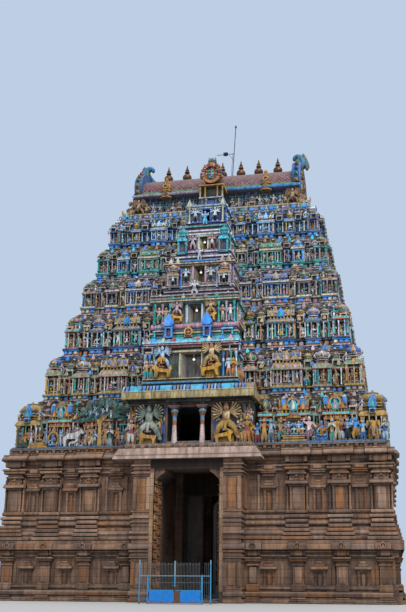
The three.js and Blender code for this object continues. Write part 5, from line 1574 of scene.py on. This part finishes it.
for end, flip in (("right", Matrix.Identity(4)), ("left", Matrix.Rotation(math.pi, 4, "Z"))):
    place_cast("gable_disc", flip, {BASE: "blue", TRIM: 0x4fa6dc, FINIAL: "gold", ROOF: "salmon",
                                    INSET: "navy"})
    place_cast("horn", flip, 0x3f8fcc)
    for k in range(17):  # flame leaves round the ring
        angle = math.radians(-30 + 240 * k / 16)
        spot = (6.62, 2.92 * math.cos(angle), 33.05 + 1.88 * math.sin(angle))
        if abs(angle - math.pi / 2) > 0.1:  # none under the horn
            place_cast("leaf", flip @ slanted(spot, "X", angle - math.pi / 2, (0.34, 0.4, 0.36)),
                       one_of("sky sea red ochre"))
    for k in range(11):  # rays on the field
        turn = math.radians(k * 18) - math.pi / 2
        place_cast("block", flip @ slanted((6.82, 0, 33.0), "X", turn, (0.2, 0.24, 0.36), 1.3),
                   one_of("orange mint pink"))
    place_cast("kuta", flip @ slanted((6.62, 0, 31.95), "Z", math.pi / 2, (1.7, 0.6, 2.1)),
               "sea teal dark ochre orange cyan gold gold")
    place_cast("seated", flip @ slanted((6.84, 0, 32.1), "Z", math.pi / 2, (0.8, 0.8, 0.8)),
               dressed("gold orange red gold"))
    for side in SIDES:
        place_cast("guardian", flip @ slanted((6.82, side * 1.35, 31.95), "Z", math.pi / 2, (1.2, 1.2, 1.2)),
                   blue_guard if side > 0 else gold_guard)
        place_cast("leaf", flip @ slanted((6.6, side * 0.36, 34.9), "Z", 0, (0.42, 0.36, 1.0)), "leaf")
        # the lobes of the horseshoe curl out at its foot
        place_cast("arch", flip @ slanted((6.62, side * 2.3, 32.0), "Z", math.pi / 2, (1.1, 0.7, 1.0)),
                   {TRIM: "blue", INSET: "red"})
    for k in range(8):  # a crest of leaves on the outer side of the horn
        spot = (7.12 - 0.004 * k * k, 0, 34.9 + 0.15 * k)
        place_cast("leaf", flip @ slanted(spot, "Y", 1.15 - 0.14 * k, (0.3, 0.5, 0.4)),
                   ("leaf", "red", "sea", "leaf")[k % 4])
    gather(f"{end}_horseshoe_gable", [f"{end}_gable"])

# %% [markdown]
# ### Dormers, neck and finials
# The front dormer repeats the bays below it: a blue shrine, over it a gilded one with a dark opening, then
# a horseshoe arch of coloured rays and a lion face as its crest. The kalasam finials are beaten copper
# over a core, turned from one profile: foot, pot, neck, lotus and spire.

# %% Dormers and neck
cast("course", (-1.0, -4.84, 29.6), (1.0, -3.3, 29.9), "grey")
cast("roll", (-1.05, -4.84, 29.9), (1.05, -3.3, 30.05), "ice")
cast("block", (-0.85, -4.6, 30.05), (0.85, -3.2, 30.6), "blue")
cast("course", (-0.98, -4.76, 30.6), (0.98, -3.2, 30.74), "ice")
# the opening of the gilded shrine: a block painted near black as painted shade
cast("block", (-0.72, -4.5, 30.74), (0.72, -3.0, 31.7), "dark")
for x in (-0.9, -0.5, 0.5, 0.9):
    stand("post", x, -4.62, 30.74, 0.2, 0.2, 0.95, {POST: "cream" if abs(x) > 0.6 else "gold", TRIM: "tan"})
    pose("praying", x * 0.8, -4.7, 30.05, 0.62, chance.choice(blue_clothes))
cast("flare", (-1.0, -4.84, 31.66), (1.0, -3.0, 31.98), {EAVE: "sand", TRIM: "gold"})
begin("dormer_arch")
horseshoe(0, 0, 0, 0.78, 0.86, 1.0, sides=24, inner=0.7)
keep()
place_cast("dormer_arch", Matrix.Translation((0, -3.72, 32.8)), {TRIM: "orange", INSET: "ice"})
cast("block", (-0.62, -4.05, 31.95), (0.62, -1.6, 33.2), "slate")
for k in range(13):
    angle = math.radians(-15 + 210 * k / 12)
    place_cast("block", slanted((0, -4.72, 32.8), "Y", math.pi / 2 - angle, (0.14, 0.14, 0.3), 0.56),
               ("orange", "red", "salmon")[k % 3])
for k in range(9):  # coloured staves fill the arch, with white beads across them
    x = -0.52 + 0.13 * k
    tall = math.sqrt(max(0.05, 0.36 - x * x))
    cast("block", (x - 0.05, -4.6, 32.86 - tall), (x + 0.05, -4.1, 32.8 + 1.1 * tall),
         ("ice", "orange", "sea", "red", "cyan")[k % 5])
    if k % 2:
        for low, high in ((32.72, 32.82), (33.02, 33.1)):
            cast("block", (x - 0.05, -4.68, low), (x + 0.05, -4.5, high), "white")
pose("seated", 0, -4.68, 32.32, 0.5, "ice orange gold gold")
for k in range(11):
    angle = math.radians(-14 + 208 * k / 10)
    place_cast("leaf", slanted((0, -4.4, 32.8), "Y", math.pi / 2 - angle, (0.26, 0.3, 0.26), 0.76),
               ("salmon", "blue", "leaf", "red")[k % 4])
begin("mask")  # the lion face that guards a dormer: brows, eyes, muzzle and two horns
stack(0, 0, [(0, 0.26, 0.3), (0.14, 0.42), (0.34, 0.5), (0.5, 0.44, 0.42), (0.6, 0.5, 0.48),
             (0.78, 0.4, 0.36), (1, 0.14)], sides=10)
for x in (-0.24, 0.24):
    stack(x, -0.42, [(0.42, 0.08), (0.5, 0.13, 0.12), (0.6, 0.06)], TRIM, sides=6)
    stack(1.5 * x, 0, [(0.6, 0.1), (0.9, 0.08), (1.15, 0.02)], POST, sides=6)
box(-0.3, 0.3, -0.5, -0.36, 0.16, 0.26, DARK)
keep()
stand("mask", 0, -4.3, 33.7, 0.72, 0.6, 0.6, {BASE: 0x2f8276, TRIM: "white", POST: "leaf", DARK: "red"})
for x in (-0.42, 0.42):
    pose("seated", x, -4.4, 33.4, 0.42, "salmon red gold sky")
pair("{}_dormer", "painted_plaster_4", "{}_nasi")

# the terrace parapet and the neck, with blue figures, posts and lion groups at the corners
def neck_face(face, half, terrace, bay):
    """One side of the neck, built as if it faced -Y: terrace parapet, plinth and the wall above."""
    # fronts of the terrace and of the foot of the neck
    slab, foot = (3.89, 3.34) if face < half else (8.15, 7.4)
    strip("course", bay, terrace, slab + 0.01, face + 0.2, 29.3, 29.42, "slate")
    strip("roll", bay, terrace, slab + 0.06, face + 0.2, 29.42, 29.5, "brick")
    strip("roll", bay, terrace, slab + 0.04, face + 0.2, 29.52, 29.58, "sand")
    strip("roll", bay, terrace, slab + 0.0, face + 0.2, 29.6, 29.7, "lilac")
    for k in range(int((terrace - bay) / 0.26)):
        both("block", bay + 0.26 * (k + 0.5), -slab - 0.02, 29.3, 0.13, 0.12, 0.11,
             ("ice", "dark", "sky", "dark", "sand")[k % 5])
    strip("course", bay, half + 0.7, foot + 0.06, face - 0.2, 29.72, 29.9, "stone")
    strip("course", bay, half + 0.7, foot + 0.02, face - 0.2, 29.9, 30.1, "deep")
    strip("roll", bay, half + 0.7, foot + 0.1, face - 0.2, 30.12, 30.34, "sand")
    squares = int((terrace - bay) / 0.78)
    for k in range(squares):  # bright squares and small figures on the parapet
        u = bay + (terrace - bay) * (k + 0.5) / squares
        if k % 4 != 1:
            both("block", u + chance.uniform(-0.14, 0.14), -slab, 29.62, chance.uniform(0.2, 0.32), 0.16,
                 0.27, 0x1c9ae8)
        both("arch", u + 0.36, -slab + 0.02, 29.66, 0.3, 0.16, 0.4,
             {TRIM: "sand", FINIAL: "blue", INSET: "navy", BASE: "white"})
        both("block", u, -foot - 0.05, 29.92, 0.3, 0.12, 0.18, ("ochre", "teal", "pink")[k % 3])
    count = int((half - bay) / 0.52)
    for k in range(count):
        u = bay + (half - bay) * (k + 0.5) / count
        for s in SIDES:
            pose(chance.choice(poses + ["seated"]), s * u, -face - 0.2, 30.34, chance.uniform(0.95, 1.15),
                 chance.choice(blue_clothes), chance.uniform(-0.3, 0.3))
        both("post", u + (half - bay) / count / 2, -face - 0.14, 30.34, 0.14, 0.14, 1.5,
             one_of("blue slate royal"))
        for s in SIDES:
            pose("seated", s * u + 0.2, -face - 0.42, 30.34, 0.55,
                 chance.choice(blue_clothes + bright_clothes))
        both("arch", u, -face - 0.05, 30.9, 0.46, 0.2, 0.7, {TRIM: "sea", FINIAL: "blue", INSET: "navy",
                                                             BASE: "gold"})
        if k % 5 == 3:
            both("kuta", u, -face - 0.34, 30.1, 0.6, 0.5, 1.3, "blue sky gold sky sky gold orange gold")
    strip("course", bay, half + 0.05, face + 0.1, face - 0.2, 31.5, 31.66, "slate")


neck_face(2.54, 6.7, 7.75, 1.05)
for x in SIDES:  # lion groups
    stand("lion", x * 6.75, -3.1, 29.9, 1.5, 1.5, 1.15, dressed("brown brown tan tan"), flip=x < 0)
    stand("guardian", x * 6.35, -3.35, 30.1, 1.5, 1.5, 1.5, dressed("tan brown sand salmon"))
    stand("lion", x * 7.25, -3.3, 29.9, 1.1, 1.1, 0.9, dressed("tan brown sand sand"), flip=x > 0)
    pose("dancing", x * 5.75, -3.1, 30.0, 1.3, "sand brown tan tan")
    pose("guardian", x * 6.95, -2.95, 30.6, 1.1, "brown tan sand brown")
    pose("standing", x * 6.9, -2.9, 31.6, 0.85, "sky blue sky sky")
    stand("block", x * 7.35, -3.25, 29.84, 0.7, 0.4, 0.34, "cyan")
pair("{}_neck_figures", "painted_plaster_6")
neck_face(6.7, 2.54, 3.3, 0.02)
turn_casts()
pair("{}_neck_figures", "painted_plaster_6", ends=("right", "left"))

# %% Copper finials and mast
def aged_copper(name, colour, patina, roughness=0.42):
    """Beaten copper that has browned in the weather, with a trace of green in the hollows."""
    material, tree, shader, place = start_material(name)
    stain = add_node(tree, "TexNoise", {"Vector": place, "Scale": 3.5, "Detail": 5.0})
    tone = add_node(tree, "ValToRGB", [stain], [(0.0, patina), (0.38, patina), (0.52, colour), (1.0, colour)])
    tree.links.new(tone.outputs["Color"], shader.inputs["Base Color"])
    dents = add_node(tree, "TexNoise", {"Vector": place, "Scale": 14.0, "Detail": 2.0})
    bump = add_node(tree, "Bump", {"Height": dents, "Strength": 0.35, "Distance": 0.02})
    tree.links.new(bump.outputs[0], shader.inputs["Normal"])
    shader.inputs["Metallic"].default_value = 0.75
    shader.inputs["Roughness"].default_value = roughness
    return material


stacked("kalasam", [(0, 0.24), (0.05, 0.22), (0.08, 0.13), (0.12, 0.2), (0.2, 0.33), (0.28, 0.37),
                    (0.36, 0.36), (0.44, 0.27), (0.5, 0.15), (0.53, 0.12), (0.56, 0.2), (0.6, 0.22),
                    (0.63, 0.13), (0.68, 0.12), (0.71, 0.17), (0.75, 0.1), (0.83, 0.075), (0.9, 0.06),
                    (1.0, 0.012)], sides=20)
for x in (-4.77, -3.13, -1.6, 0, 1.6, 3.13, 4.77):
    stand("kalasam", x, 0, 34.42, 1.05, 1.05, 1.7, 0x5d4433)
cast("course", (-6.2, -0.15, 34.4), (6.2, 0.15, 34.5), 0x5d4433)
gather("copper_finials", ["ridge_finials"],
       material=aged_copper("browned_copper", 0x7d573c, 0x4a4034))


def rod_between(a, b, thick, colours):
    """A thin round bar from one point to another."""
    a, b = Vector(a), Vector(b)
    along = b - a
    aim = along.to_track_quat("Z", "Y").to_matrix().to_4x4()
    place_cast("rod", Matrix.Translation(a) @ aim @ Matrix.Diagonal((thick, thick, along.length, 1)), colours)


def mast_x(z):
    """The mast leans to the right; this is where it stands at a height."""
    return 0.85 + (z - 34.47) * 0.058


steel_grey = 0x3b3f46
# the mast, the stay beside it, the lamp arm and its brace: (height, shift) of both ends, and the thickness
for z0, shift0, z1, x1, thick in ((34.4, 0, 39.55, mast_x(39.55), 0.07),
                                  (34.4, -0.12, 36.9, mast_x(36.9) - 0.1, 0.035),
                                  (36.87, 0, 36.84, mast_x(36.87) - 1.5, 0.05),
                                  (36.2, 0, 36.86, mast_x(36.87) - 0.45, 0.03)):
    rod_between((mast_x(z0) + shift0, 0, z0), (x1, 0, z1), thick, steel_grey)
place_cast("kuta", slanted((mast_x(36.87) - 0.74, 0, 37.0), "X", math.pi, (0.4, 0.26, 0.3)), steel_grey)
stand("finial", mast_x(39.4), 0, 39.3, 0.2, 0.2, 0.3, steel_grey)
stand("block", 0.85, 0, 34.44, 0.24, 0.24, 0.12, steel_grey)
gather("lightning_rod", ["lightning_mast"],
       material=aged_copper("galvanised_steel", 0x50555c, 0x33363b, 0.5))

# %% [markdown]
# ## The stone base
# The two granite floors below the painted storeys are carved like a wooden building: a moulded foot,
# pilasters with stepped capitals, niches under small hoods, a heavy rounded cornice over each floor, and a
# frieze of lion heads. The masons worked in courses, so the relief is built from the same moulds as the
# rows above, one stone at a time, each in its own tone. Deep gaps between the courses give the dark lines
# that make such a wall readable from far away.

# %% Stones
stone_tones = (0x96715a, 0x87664f, 0xa58068, 0x755748, 0xa0795b, 0x9a6842, 0x836857, 0x9b7e6a)
warm_tones = (0xa8754c, 0x9c6b45, 0xb07f58, 0x8d6242)


def stone(mould, u0, u1, front, back, z0, z1, tones=stone_tones, length=1.7):
    """A course on both halves of a wall, broken into stones with their own tones."""
    count = max(1, round((u1 - max(u0, -u1)) / length))
    for k in range(count):
        a, b = u0 + (u1 - u0) * k / count, u0 + (u1 - u0) * (k + 1) / count
        for s in SIDES:
            if u0 < 0 and s < 0:
                continue
            cast(mould, (s * a, -front, z0), (s * b, -back, z1), chance.choice(tones), vary=0.12)


def standing_stone(mould, u, half, front, back, z0, z1, tones=stone_tones):
    """A stone centred on u, on both halves of a wall."""
    for s in sides_of(u):
        cast(mould, (s * u - half, -front, z0), (s * u + half, -back, z1), chance.choice(tones), vary=0.12)


def niche(u, front, back, z0, hood, half):
    """A shallow niche: two slender pilasters, a sunk middle, a hood and a stepped top."""
    for shift in (-0.62, 0.62):
        for s in sides_of(u):
            x = s * u + shift * half
            cast("post", (x - 0.1, -front - 0.02, z0), (x + 0.1, -front + 0.16, hood - 0.08),
                 chance.choice(stone_tones))
    standing_stone("block", u, half * 0.2, front - 0.02, back, z0, hood - 0.3)
    standing_stone("course", u, half * 0.86, front + 0.04, back, hood - 0.12, hood)
    standing_stone("flare", u, half * 1.12, front + 0.2, back, hood, hood + 0.2)
    standing_stone("block", u, half * 0.66, front + 0.08, back, hood + 0.2, hood + 0.34)
    standing_stone("roll", u, half * 0.42, front + 0.06, back, hood + 0.34, hood + 0.5)


def capital(u, front, back, z, half, high):
    """The stepped head of a pilaster: roll, neck, cushion, plate and bracket."""
    for mould, low, top, wide, out in (("roll", 0.0, 0.13, 1.0, 0.1), ("block", 0.13, 0.26, 0.82, 0.03),
                                       ("roll", 0.26, 0.44, 1.25, 0.2), ("course", 0.44, 0.55, 1.4, 0.26),
                                       ("block", 0.62, 1.0, 0.7, 0.22)):
        standing_stone(mould, u, half * wide, front + out, back, z + low * high, z + top * high)
    for shift in (-0.95, 0.95):
        for s in sides_of(u):
            x = s * u + shift * half
            cast("block", (x - half * 0.2, -front - 0.16, z + 0.66 * high), (x + half * 0.2, -back, z + high),
                 chance.choice(stone_tones))


def carved_wall(shift, u0, u1, bays, niches, pilasters, limit):
    """Both stone floors of one side, from u0 to u1, with bays, niches and pilasters at the given places."""
    def out(distance):
        """A distance of the front, moved out to this side, and kept within the solids."""
        return min(distance + shift, limit)

    foot = [("course", 0.0, 0.24, 10.62), ("roll", 0.36, 0.7, 10.62), ("course", 0.84, 0.98, 10.42)]
    middle = [("course", 2.86, 2.98, 10.36), ("course", 3.08, 3.24, 10.42), ("course", 3.9, 4.12, 10.46),
              ("flare", 4.24, 4.56, 10.42), ("roll", 4.84, 5.1, 10.14), ("course", 5.22, 5.45, 10.16),
              ("course", 5.62, 5.78, 10.04)]
    head = [("roll", 8.34, 8.48, 10.0), ("course", 8.6, 8.74, 10.04), ("course", 9.02, 9.28, 9.98)]
    for mould, z0, z1, front in foot + middle + head:
        stone(mould, u0, u1, out(front), out(9.6), z0, z1)
    for u in pilasters:
        for step in range(3):
            standing_stone("course", u, 0.62 - 0.09 * step, out(10.72 - 0.05 * step), out(10.0), 0.13 * step,
                           0.13 * step + 0.11)
        standing_stone("block", u, 0.42, out(10.5), out(10.0), 0.72, 1.16)
        standing_stone("block", u, 0.22, out(10.36), out(10.0), 1.2, 2.2)
        capital(u, out(10.3), out(9.9), 2.28, 0.4, 0.98)
    for u in niches:
        niche(u, out(10.24), out(10.0), 1.1, 2.06, 0.46)
        for s in SIDES:
            standing_stone("block", u + s * 0.86, 0.1, out(10.2), out(10.0), 1.1, 2.5)
    # the lower cornice: rounded stones, a little prouder over the pilasters
    edges = sorted([u0] + [p + s * 0.6 for p in pilasters for s in SIDES] + [u1])
    for a, b in zip(edges, edges[1:]):
        a, b = max(a, u0), min(b, u1 + 0.3)
        if b - a > 0.1 and b > 0:
            proud = any(a < p < b for p in pilasters)
            stone("flare", max(a, 0) + 0.015, b - 0.015, out(10.78 if proud else 10.68), out(10.0), 3.27,
                  3.84, length=3.0)
            if proud:
                standing_stone("arch", (max(a, 0) + b) / 2, 0.22, out(10.86), out(10.5), 3.34, 3.8)
    # the upper floor: stepped bases, bays with a tall panel, niches in the recesses
    for u in bays:
        for low, top, wide, front in ((3.88, 4.1, 0.98, 10.58), (4.14, 4.36, 0.9, 10.52),
                                      (4.4, 4.62, 0.82, 10.46), (4.66, 4.88, 0.74, 10.38),
                                      (4.94, 5.2, 0.68, 10.3), (5.26, 5.48, 0.8, 10.28),
                                      (5.54, 5.78, 0.72, 10.2)):
            standing_stone("course" if low < 4.9 else "roll", u, wide, out(front), out(9.6), low, top)
        standing_stone("block", u, 0.74, out(9.88), out(9.5), 5.8, 8.3)
        standing_stone("block", u, 0.26, out(10.08), out(9.6), 5.84, 7.2)
        for shift_u in (-0.64, -0.42, 0.42, 0.64):
            for s in sides_of(u):
                x = s * u + shift_u
                cast("post", (x - 0.09, -out(10.1), 5.8), (x + 0.09, -out(9.8), 7.95),
                     chance.choice(stone_tones))
        standing_stone("course", u, 0.56, out(10.12), out(9.6), 7.28, 7.42)
        standing_stone("flare", u, 0.74, out(10.36), out(9.6), 7.42, 7.68)
        standing_stone("block", u, 0.46, out(10.2), out(9.6), 7.68, 7.82)
        standing_stone("arch", u, 0.28, out(10.26), out(9.9), 7.66, 8.06)
        capital(u, out(10.08), out(9.6), 8.06, 0.62, 1.2)
    for u in niches:
        niche(u, out(9.86), out(9.6), 5.8, 7.2, 0.46)
        for s in SIDES:
            standing_stone("post", u + s * 0.7, 0.1, out(9.9), out(9.7), 5.8, 8.1)
        capital(u, out(9.84), out(9.6), 8.0, 0.4, 0.7)
        standing_stone("block", u, 0.5, out(9.98), out(9.6), 4.6, 4.84)
    edges = sorted([u0] + [p + s * 0.98 for p in bays for s in SIDES] + [u1])
    for a, b in zip(edges, edges[1:]):
        a, b = max(a, u0), min(b, u1 + 0.5)
        if b - a > 0.1 and b > 0:
            proud = any(a < p < b for p in bays)
            stone("flare", max(a, 0) + 0.02, b - 0.02, out(10.62 if proud else 10.44), out(9.0), 9.3,
                  9.76 if proud else 9.72, length=3.0)
            stone("course", max(a, 0) + 0.05, b - 0.05, out(10.5 if proud else 10.34), out(9.6), 9.26, 9.31,
                  length=3.0)
    # the frieze of lion heads under the painted storeys
    stone("course", u0, u1, out(9.98), out(9.6), 9.74, 9.8)
    stone("course", u0, u1, out(10.06), out(9.6), 10.0, 10.08)
    count = int((u1 - max(u0, 0)) / 0.3)
    for k in range(count):
        u = max(u0, 0) + (k + 0.5) * 0.3
        standing_stone("leaf" if k % 2 else "block", u, 0.1, out(10.04), out(9.8), 9.79, 10.0)


carved_granite = granite("carved_granite", 0x95745f, 0xa4764f, 0x755c4d, carved=True)
carved_wall(0.0, 3.62, 12.9, [7.05, 9.8, 12.45], [5.2, 8.42, 11.12], [4.2, 7.09, 9.83, 12.5], 10.9)
pair("{}_stone_relief", "granite", material=carved_granite)
carved_wall(3.06, -9.7, 9.7, [0, 4.3, 8.6], [2.15, 6.45], [0, 4.3, 8.6], 13.69)
turn_casts()
pair("{}_stone_relief", "granite", material=carved_granite, ends=("right", "left"))

# %% [markdown]
# ### The portal
# The gateway stands forward of the base. Its jambs repeat the mouldings of the wall, with oil on the flat
# panels and a lintel painted near black as painted shade under the slab, and inside the passage two carved
# bands climb each jamb: figures in a creeper, cut in dark stone.

# %% Portal
for mould, z0, z1, push in (("course", 0.0, 0.24, 0.1), ("roll", 0.36, 0.7, 0.1),
                            ("course", 0.84, 0.98, 0.04), ("course", 2.5, 2.62, 0.06),
                            ("roll", 2.7, 2.84, 0.12), ("course", 2.86, 2.98, 0.08),
                            ("course", 3.08, 3.24, 0.12), ("flare", 3.27, 3.84, 0.2),
                            ("course", 3.9, 4.12, 0.14), ("flare", 4.24, 4.56, 0.14),
                            ("course", 4.7, 4.84, 0.04), ("roll", 4.9, 5.1, 0.1),
                            ("course", 5.22, 5.45, 0.12), ("course", 5.62, 5.78, 0.08),
                            ("roll", 7.9, 8.04, 0.08), ("course", 8.1, 8.24, 0.14), ("roll", 8.34, 8.48, 0.1),
                            ("course", 8.6, 8.74, 0.14), ("course", 9.02, 9.28, 0.1)):
    stone(mould, 2.44, 3.62 + push, 11.24 + push, 9.7, z0, z1, length=2)
for u in (2.56, 3.46):
    standing_stone("block", u, 0.12, 11.34, 11.1, 5.8, 7.9)
    standing_stone("block", u, 0.12, 11.34, 11.1, 0.98, 2.5)
standing_stone("block", 3.0, 0.3, 11.27, 11.1, 5.9, 7.8, warm_tones)
standing_stone("block", 3.0, 0.24, 11.3, 11.1, 1.1, 2.4)
for z in (0.7, 2.2, 3.7, 5.2, 6.7):
    standing_stone("block", 2.32, 0.12, 11.31, 11.0, z, z + 1.49, (0xa8886f, 0x9c7a60, 0xb08a64))
for y in (9.85, 10.6):
    standing_stone("block", 3.66, 0.06, y + 0.3, y - 0.3, 5.9, 7.9, warm_tones)
jamb_tones = (0xc98d5a, 0xbd7d4e, 0xd49c68, 0xad7650)
for y, high in ((10.78, 0.5), (9.85, 0.56)):  # two bands of small figures, each in a frame of its own
    z = 0.9
    while z < 8.0:
        mould = one_of("seated dancing praying")
        for s in SIDES:
            tone = chance.choice(jamb_tones)
            cast("block", (s * 2.12, -y - 0.3, z), (s * 2.22, -y + 0.3, z + high - 0.07), tone)
            cast("roll", (s * 2.07, -y - 0.33, z + high - 0.09), (s * 2.22, -y + 0.33, z + high),
                 chance.choice(jamb_tones))
            stand(mould, s * 2.12, -y, z, high * 0.7, high * 0.7, high * 0.86, tone, turn=-s * math.pi / 2)
        z += high + 0.1
stone("course", -2.42, 2.42, 11.32, 10.9, 8.47, 9.26, (0x150c07, 0x1e130c))  # the lintel, painted near black as painted shade under the eave slab
pair("{}_portal_relief", "granite", material=carved_granite)
dressed_granite = granite("dressed_portal_granite", 0xb7a192, 0xbb9c84, 0x9d8b80, 6.0, carved=True)
# the eave slab over the portal: long stones, each with fine upright tooling and a thin fillet on top
# hipped at its ends, with a square lower edge
stacked("slab", [(0, 0.5), (0.08, 0.5), (1, 0.465, 0.44)])
cast("slab", (-4.95, -11.735, 9.06), (4.95, -9.3, 9.76), 0xc4a594)
pair("{}_portal_slab", "granite_grey", material=dressed_granite)
stone("course", -4.7, 4.7, 11.5, 9.9, 9.7, 9.78)
count = 32
for k in range(count):
    x = -4.6 + 9.2 * (k + 0.5) / count
    cast("leaf" if k % 2 else "block", (x - 0.1, -11.42, 9.78), (x + 0.1, -11.1, 10.02),
         chance.choice(stone_tones))
pair("{}_portal_eave", "granite_grey", material=carved_granite)

# %% [markdown]
# ## The steel gate
# A welded gate stands in front of the portal: square posts, round bars with spear points, and blue sheet
# riveted over the lower part of each leaf. It is painted with gloss enamel, which has chalked in the sun,
# chipped along the edges and let rust through near the ground. Each leaf rides on its own body, so that it
# swings on the pins of its post.

# %% Enamel on steel
def chipped_enamel(name):
    """Gloss paint on steel, coloured by the paint attribute, with rust in patches and near the ground."""
    material, tree, shader, place = start_material(name)
    colour = add_node(tree, "Attribute", attribute_name="paint")
    # chips of 5 to 20 mm, drawn larger so that they show from the street
    wear = add_node(tree, "TexNoise", {"Vector": place, "Scale": 5.0, "Detail": 5.0, "Roughness": 0.65})
    parts = add_node(tree, "SeparateXYZ", [place])
    low = add_node(tree, "MapRange", [parts.outputs["Z"], 0.0, 0.25, 0.16, 0.0])
    share = add_node(tree, "Math", [wear, low])
    rusty = add_node(tree, "MapRange", [share, 0.6, 0.66])
    chalky = add_node(tree, "MapRange", [wear, 0.3, 0.7, 0.78, 1.12])
    worn = add_node(tree, "Mix", {0: 1.0, 6: colour, 7: chalky}, **MULTIPLIED)
    rusted = add_node(tree, "Mix", {0: rusty, 6: worn, 7: to_linear(0x6e4329)}, data_type="RGBA")
    tree.links.new(rusted.outputs[2], shader.inputs["Base Color"])
    rough = add_node(tree, "MapRange", [rusty, 0.0, 1.0, 0.42, 0.9])
    tree.links.new(rough.outputs[0], shader.inputs["Roughness"])
    bump = add_node(tree, "Bump", {"Height": wear, "Strength": 0.3, "Distance": 0.004})
    tree.links.new(bump.outputs[0], shader.inputs["Normal"])
    return material


enamel = chipped_enamel("chipped_blue_enamel")
sheet_blue, frame_blue, old_blue, bar_grey, rust_brown = 0x007cd0, 0x3a8cb8, 0x7f9dab, 0x666b6f, 0x5f3f2c
stacked("spear", [(0, 0.5), (0.935, 0.5), (0.94, 0.8), (0.95, 0.8), (0.955, 0.5), (0.97, 0.85), (1, 0.06)],
        sides=8)

# %% Leaves and frame
GATE_Y = -13.84


def steel(x0, x1, z0, z1, colour, deep=0.04, y=GATE_Y, mould="block"):
    """A bar or rail of the gate between two corners, centred on the plane of the gate."""
    cast(mould, (x0, y - deep / 2, z0), (x1, y + deep / 2, z1), colour, vary=0.05)


def gate_bars(x0, x1, spacing, low):
    """Round bars with spear points between two posts."""
    count = round(abs(x1 - x0) / spacing)
    for k in range(1, count):
        x = x0 + (x1 - x0) * k / count
        steel(x - 0.0095, x + 0.0095, low, 2.42 + 0.02 * math.sin(k * 2.1), bar_grey, 0.019, mould="spear")


def gate_leaf(s):
    """One leaf: s is -1 on the left and 1 on the right."""
    meeting, outer = s * 0.006, s * 1.646
    steel(meeting, meeting + s * 0.04, 0.06, 1.0, rust_brown)
    steel(meeting, meeting + s * 0.04, 1.0, 1.66, frame_blue)
    steel(meeting, meeting + s * 0.04, 1.66, 2.52, old_blue)
    steel(outer - s * 0.04, outer, 0.06, 1.66, frame_blue)
    for z, colour in ((1.62, old_blue), (0.78, frame_blue), (0.06, rust_brown)):
        steel(meeting, outer, z, z + 0.04, colour)
    steel(meeting + s * 0.04, outer - s * 0.04, 1.24, 1.26, bar_grey, 0.016)
    gate_bars(meeting + s * 0.04, outer - s * 0.04, 0.092, 0.07)
    # the sheet: on the right leaf its inner part is bare and rusted
    start = meeting + s * (0.34 if s > 0 else 0.04)
    cast("block", (start, -13.86, 0.085), (outer - s * 0.005, -13.854, 0.785), sheet_blue, vary=0.02)
    if s > 0:
        cast("block", (meeting + 0.005, -13.859, 0.085), (start, -13.854, 0.785), rust_brown)
    for z in (0.11, 0.76):  # flat straps over the edges of the sheet, with rivets
        steel(start, outer - s * 0.005, z - 0.012, z + 0.012, sheet_blue, 0.003, -13.8605)
        for k in range(12):
            x = start + (outer - start) * (k + 0.5) / 12
            place_cast("rod", slanted((x, -13.859, z), "X", math.pi / 2, (0.012, 0.012, 0.006)), old_blue)
    # two pins that turn in the lugs of the post
    for z in (0.3, 1.44):
        steel(s * 1.616, s * 1.664, z + 0.031, z + 0.061, frame_blue, 0.03, -13.78)
        steel(s * 1.616, s * 1.646, z + 0.031, z + 0.061, frame_blue, 0.06, -13.80)
        cast("rod", (s * 1.652 - 0.01, -13.79, z + 0.002), (s * 1.652 + 0.01, -13.77, z + 0.05), bar_grey)
    # hasp and bolt at the meeting edge
    steel(s * 0.012, s * 0.16, 1.06, 1.1, bar_grey, 0.012, -13.864)
    name = "right" if s > 0 else "left"
    gather(f"{name}_barred_leaf", [f"{name}_gate_leaf"], f"{name}_leaf", enamel)


for s in SIDES:
    gate_leaf(s)
for s in SIDES:
    steel(s * 2.17, s * 2.24, 0.0, 2.3, frame_blue, 0.07)
    steel(s * 2.17, s * 2.24, 2.3, 2.56, old_blue, 0.07)
    steel(s * 1.658, s * 1.728, 0.0, 1.72, frame_blue, 0.07)
    for x, top in ((s * 2.205, 2.56), (s * 1.693, 1.72)):  # caps and foot plates
        steel(x - 0.035, x + 0.035, top - 0.012, top, old_blue, 0.07)
        steel(x - 0.045 if s < 0 else x - 0.034, x + 0.034 if s < 0 else x + 0.035, 0.0, 0.012, rust_brown,
              0.12)
    for z, colour in ((1.62, old_blue), (0.12, rust_brown)):
        steel(s * 1.7, s * 2.18, z, z + 0.04, colour)
    gate_bars(s * 1.728, s * 2.17, 0.11, 0.13)
    steel(s * 1.7, s * 2.18, 1.24, 1.26, bar_grey, 0.016)
    for z in (0.3, 1.44):
        steel(s * 1.664, s * 1.70, z, z + 0.03, frame_blue, 0.04, -13.785)
        steel(s * 1.63, s * 1.668, z + 0.002, z + 0.022, frame_blue, 0.012, -13.763)
    cast("block", (s * 2.205 - 0.02, GATE_Y, 0.25), (s * 2.205 + 0.02, -11.24, 0.29), frame_blue)
steel(-1.67, 1.67, 0.0, 0.02, rust_brown, 0.12)
gather("fixed_gate_frame", ["gate_frame"], material=enamel)
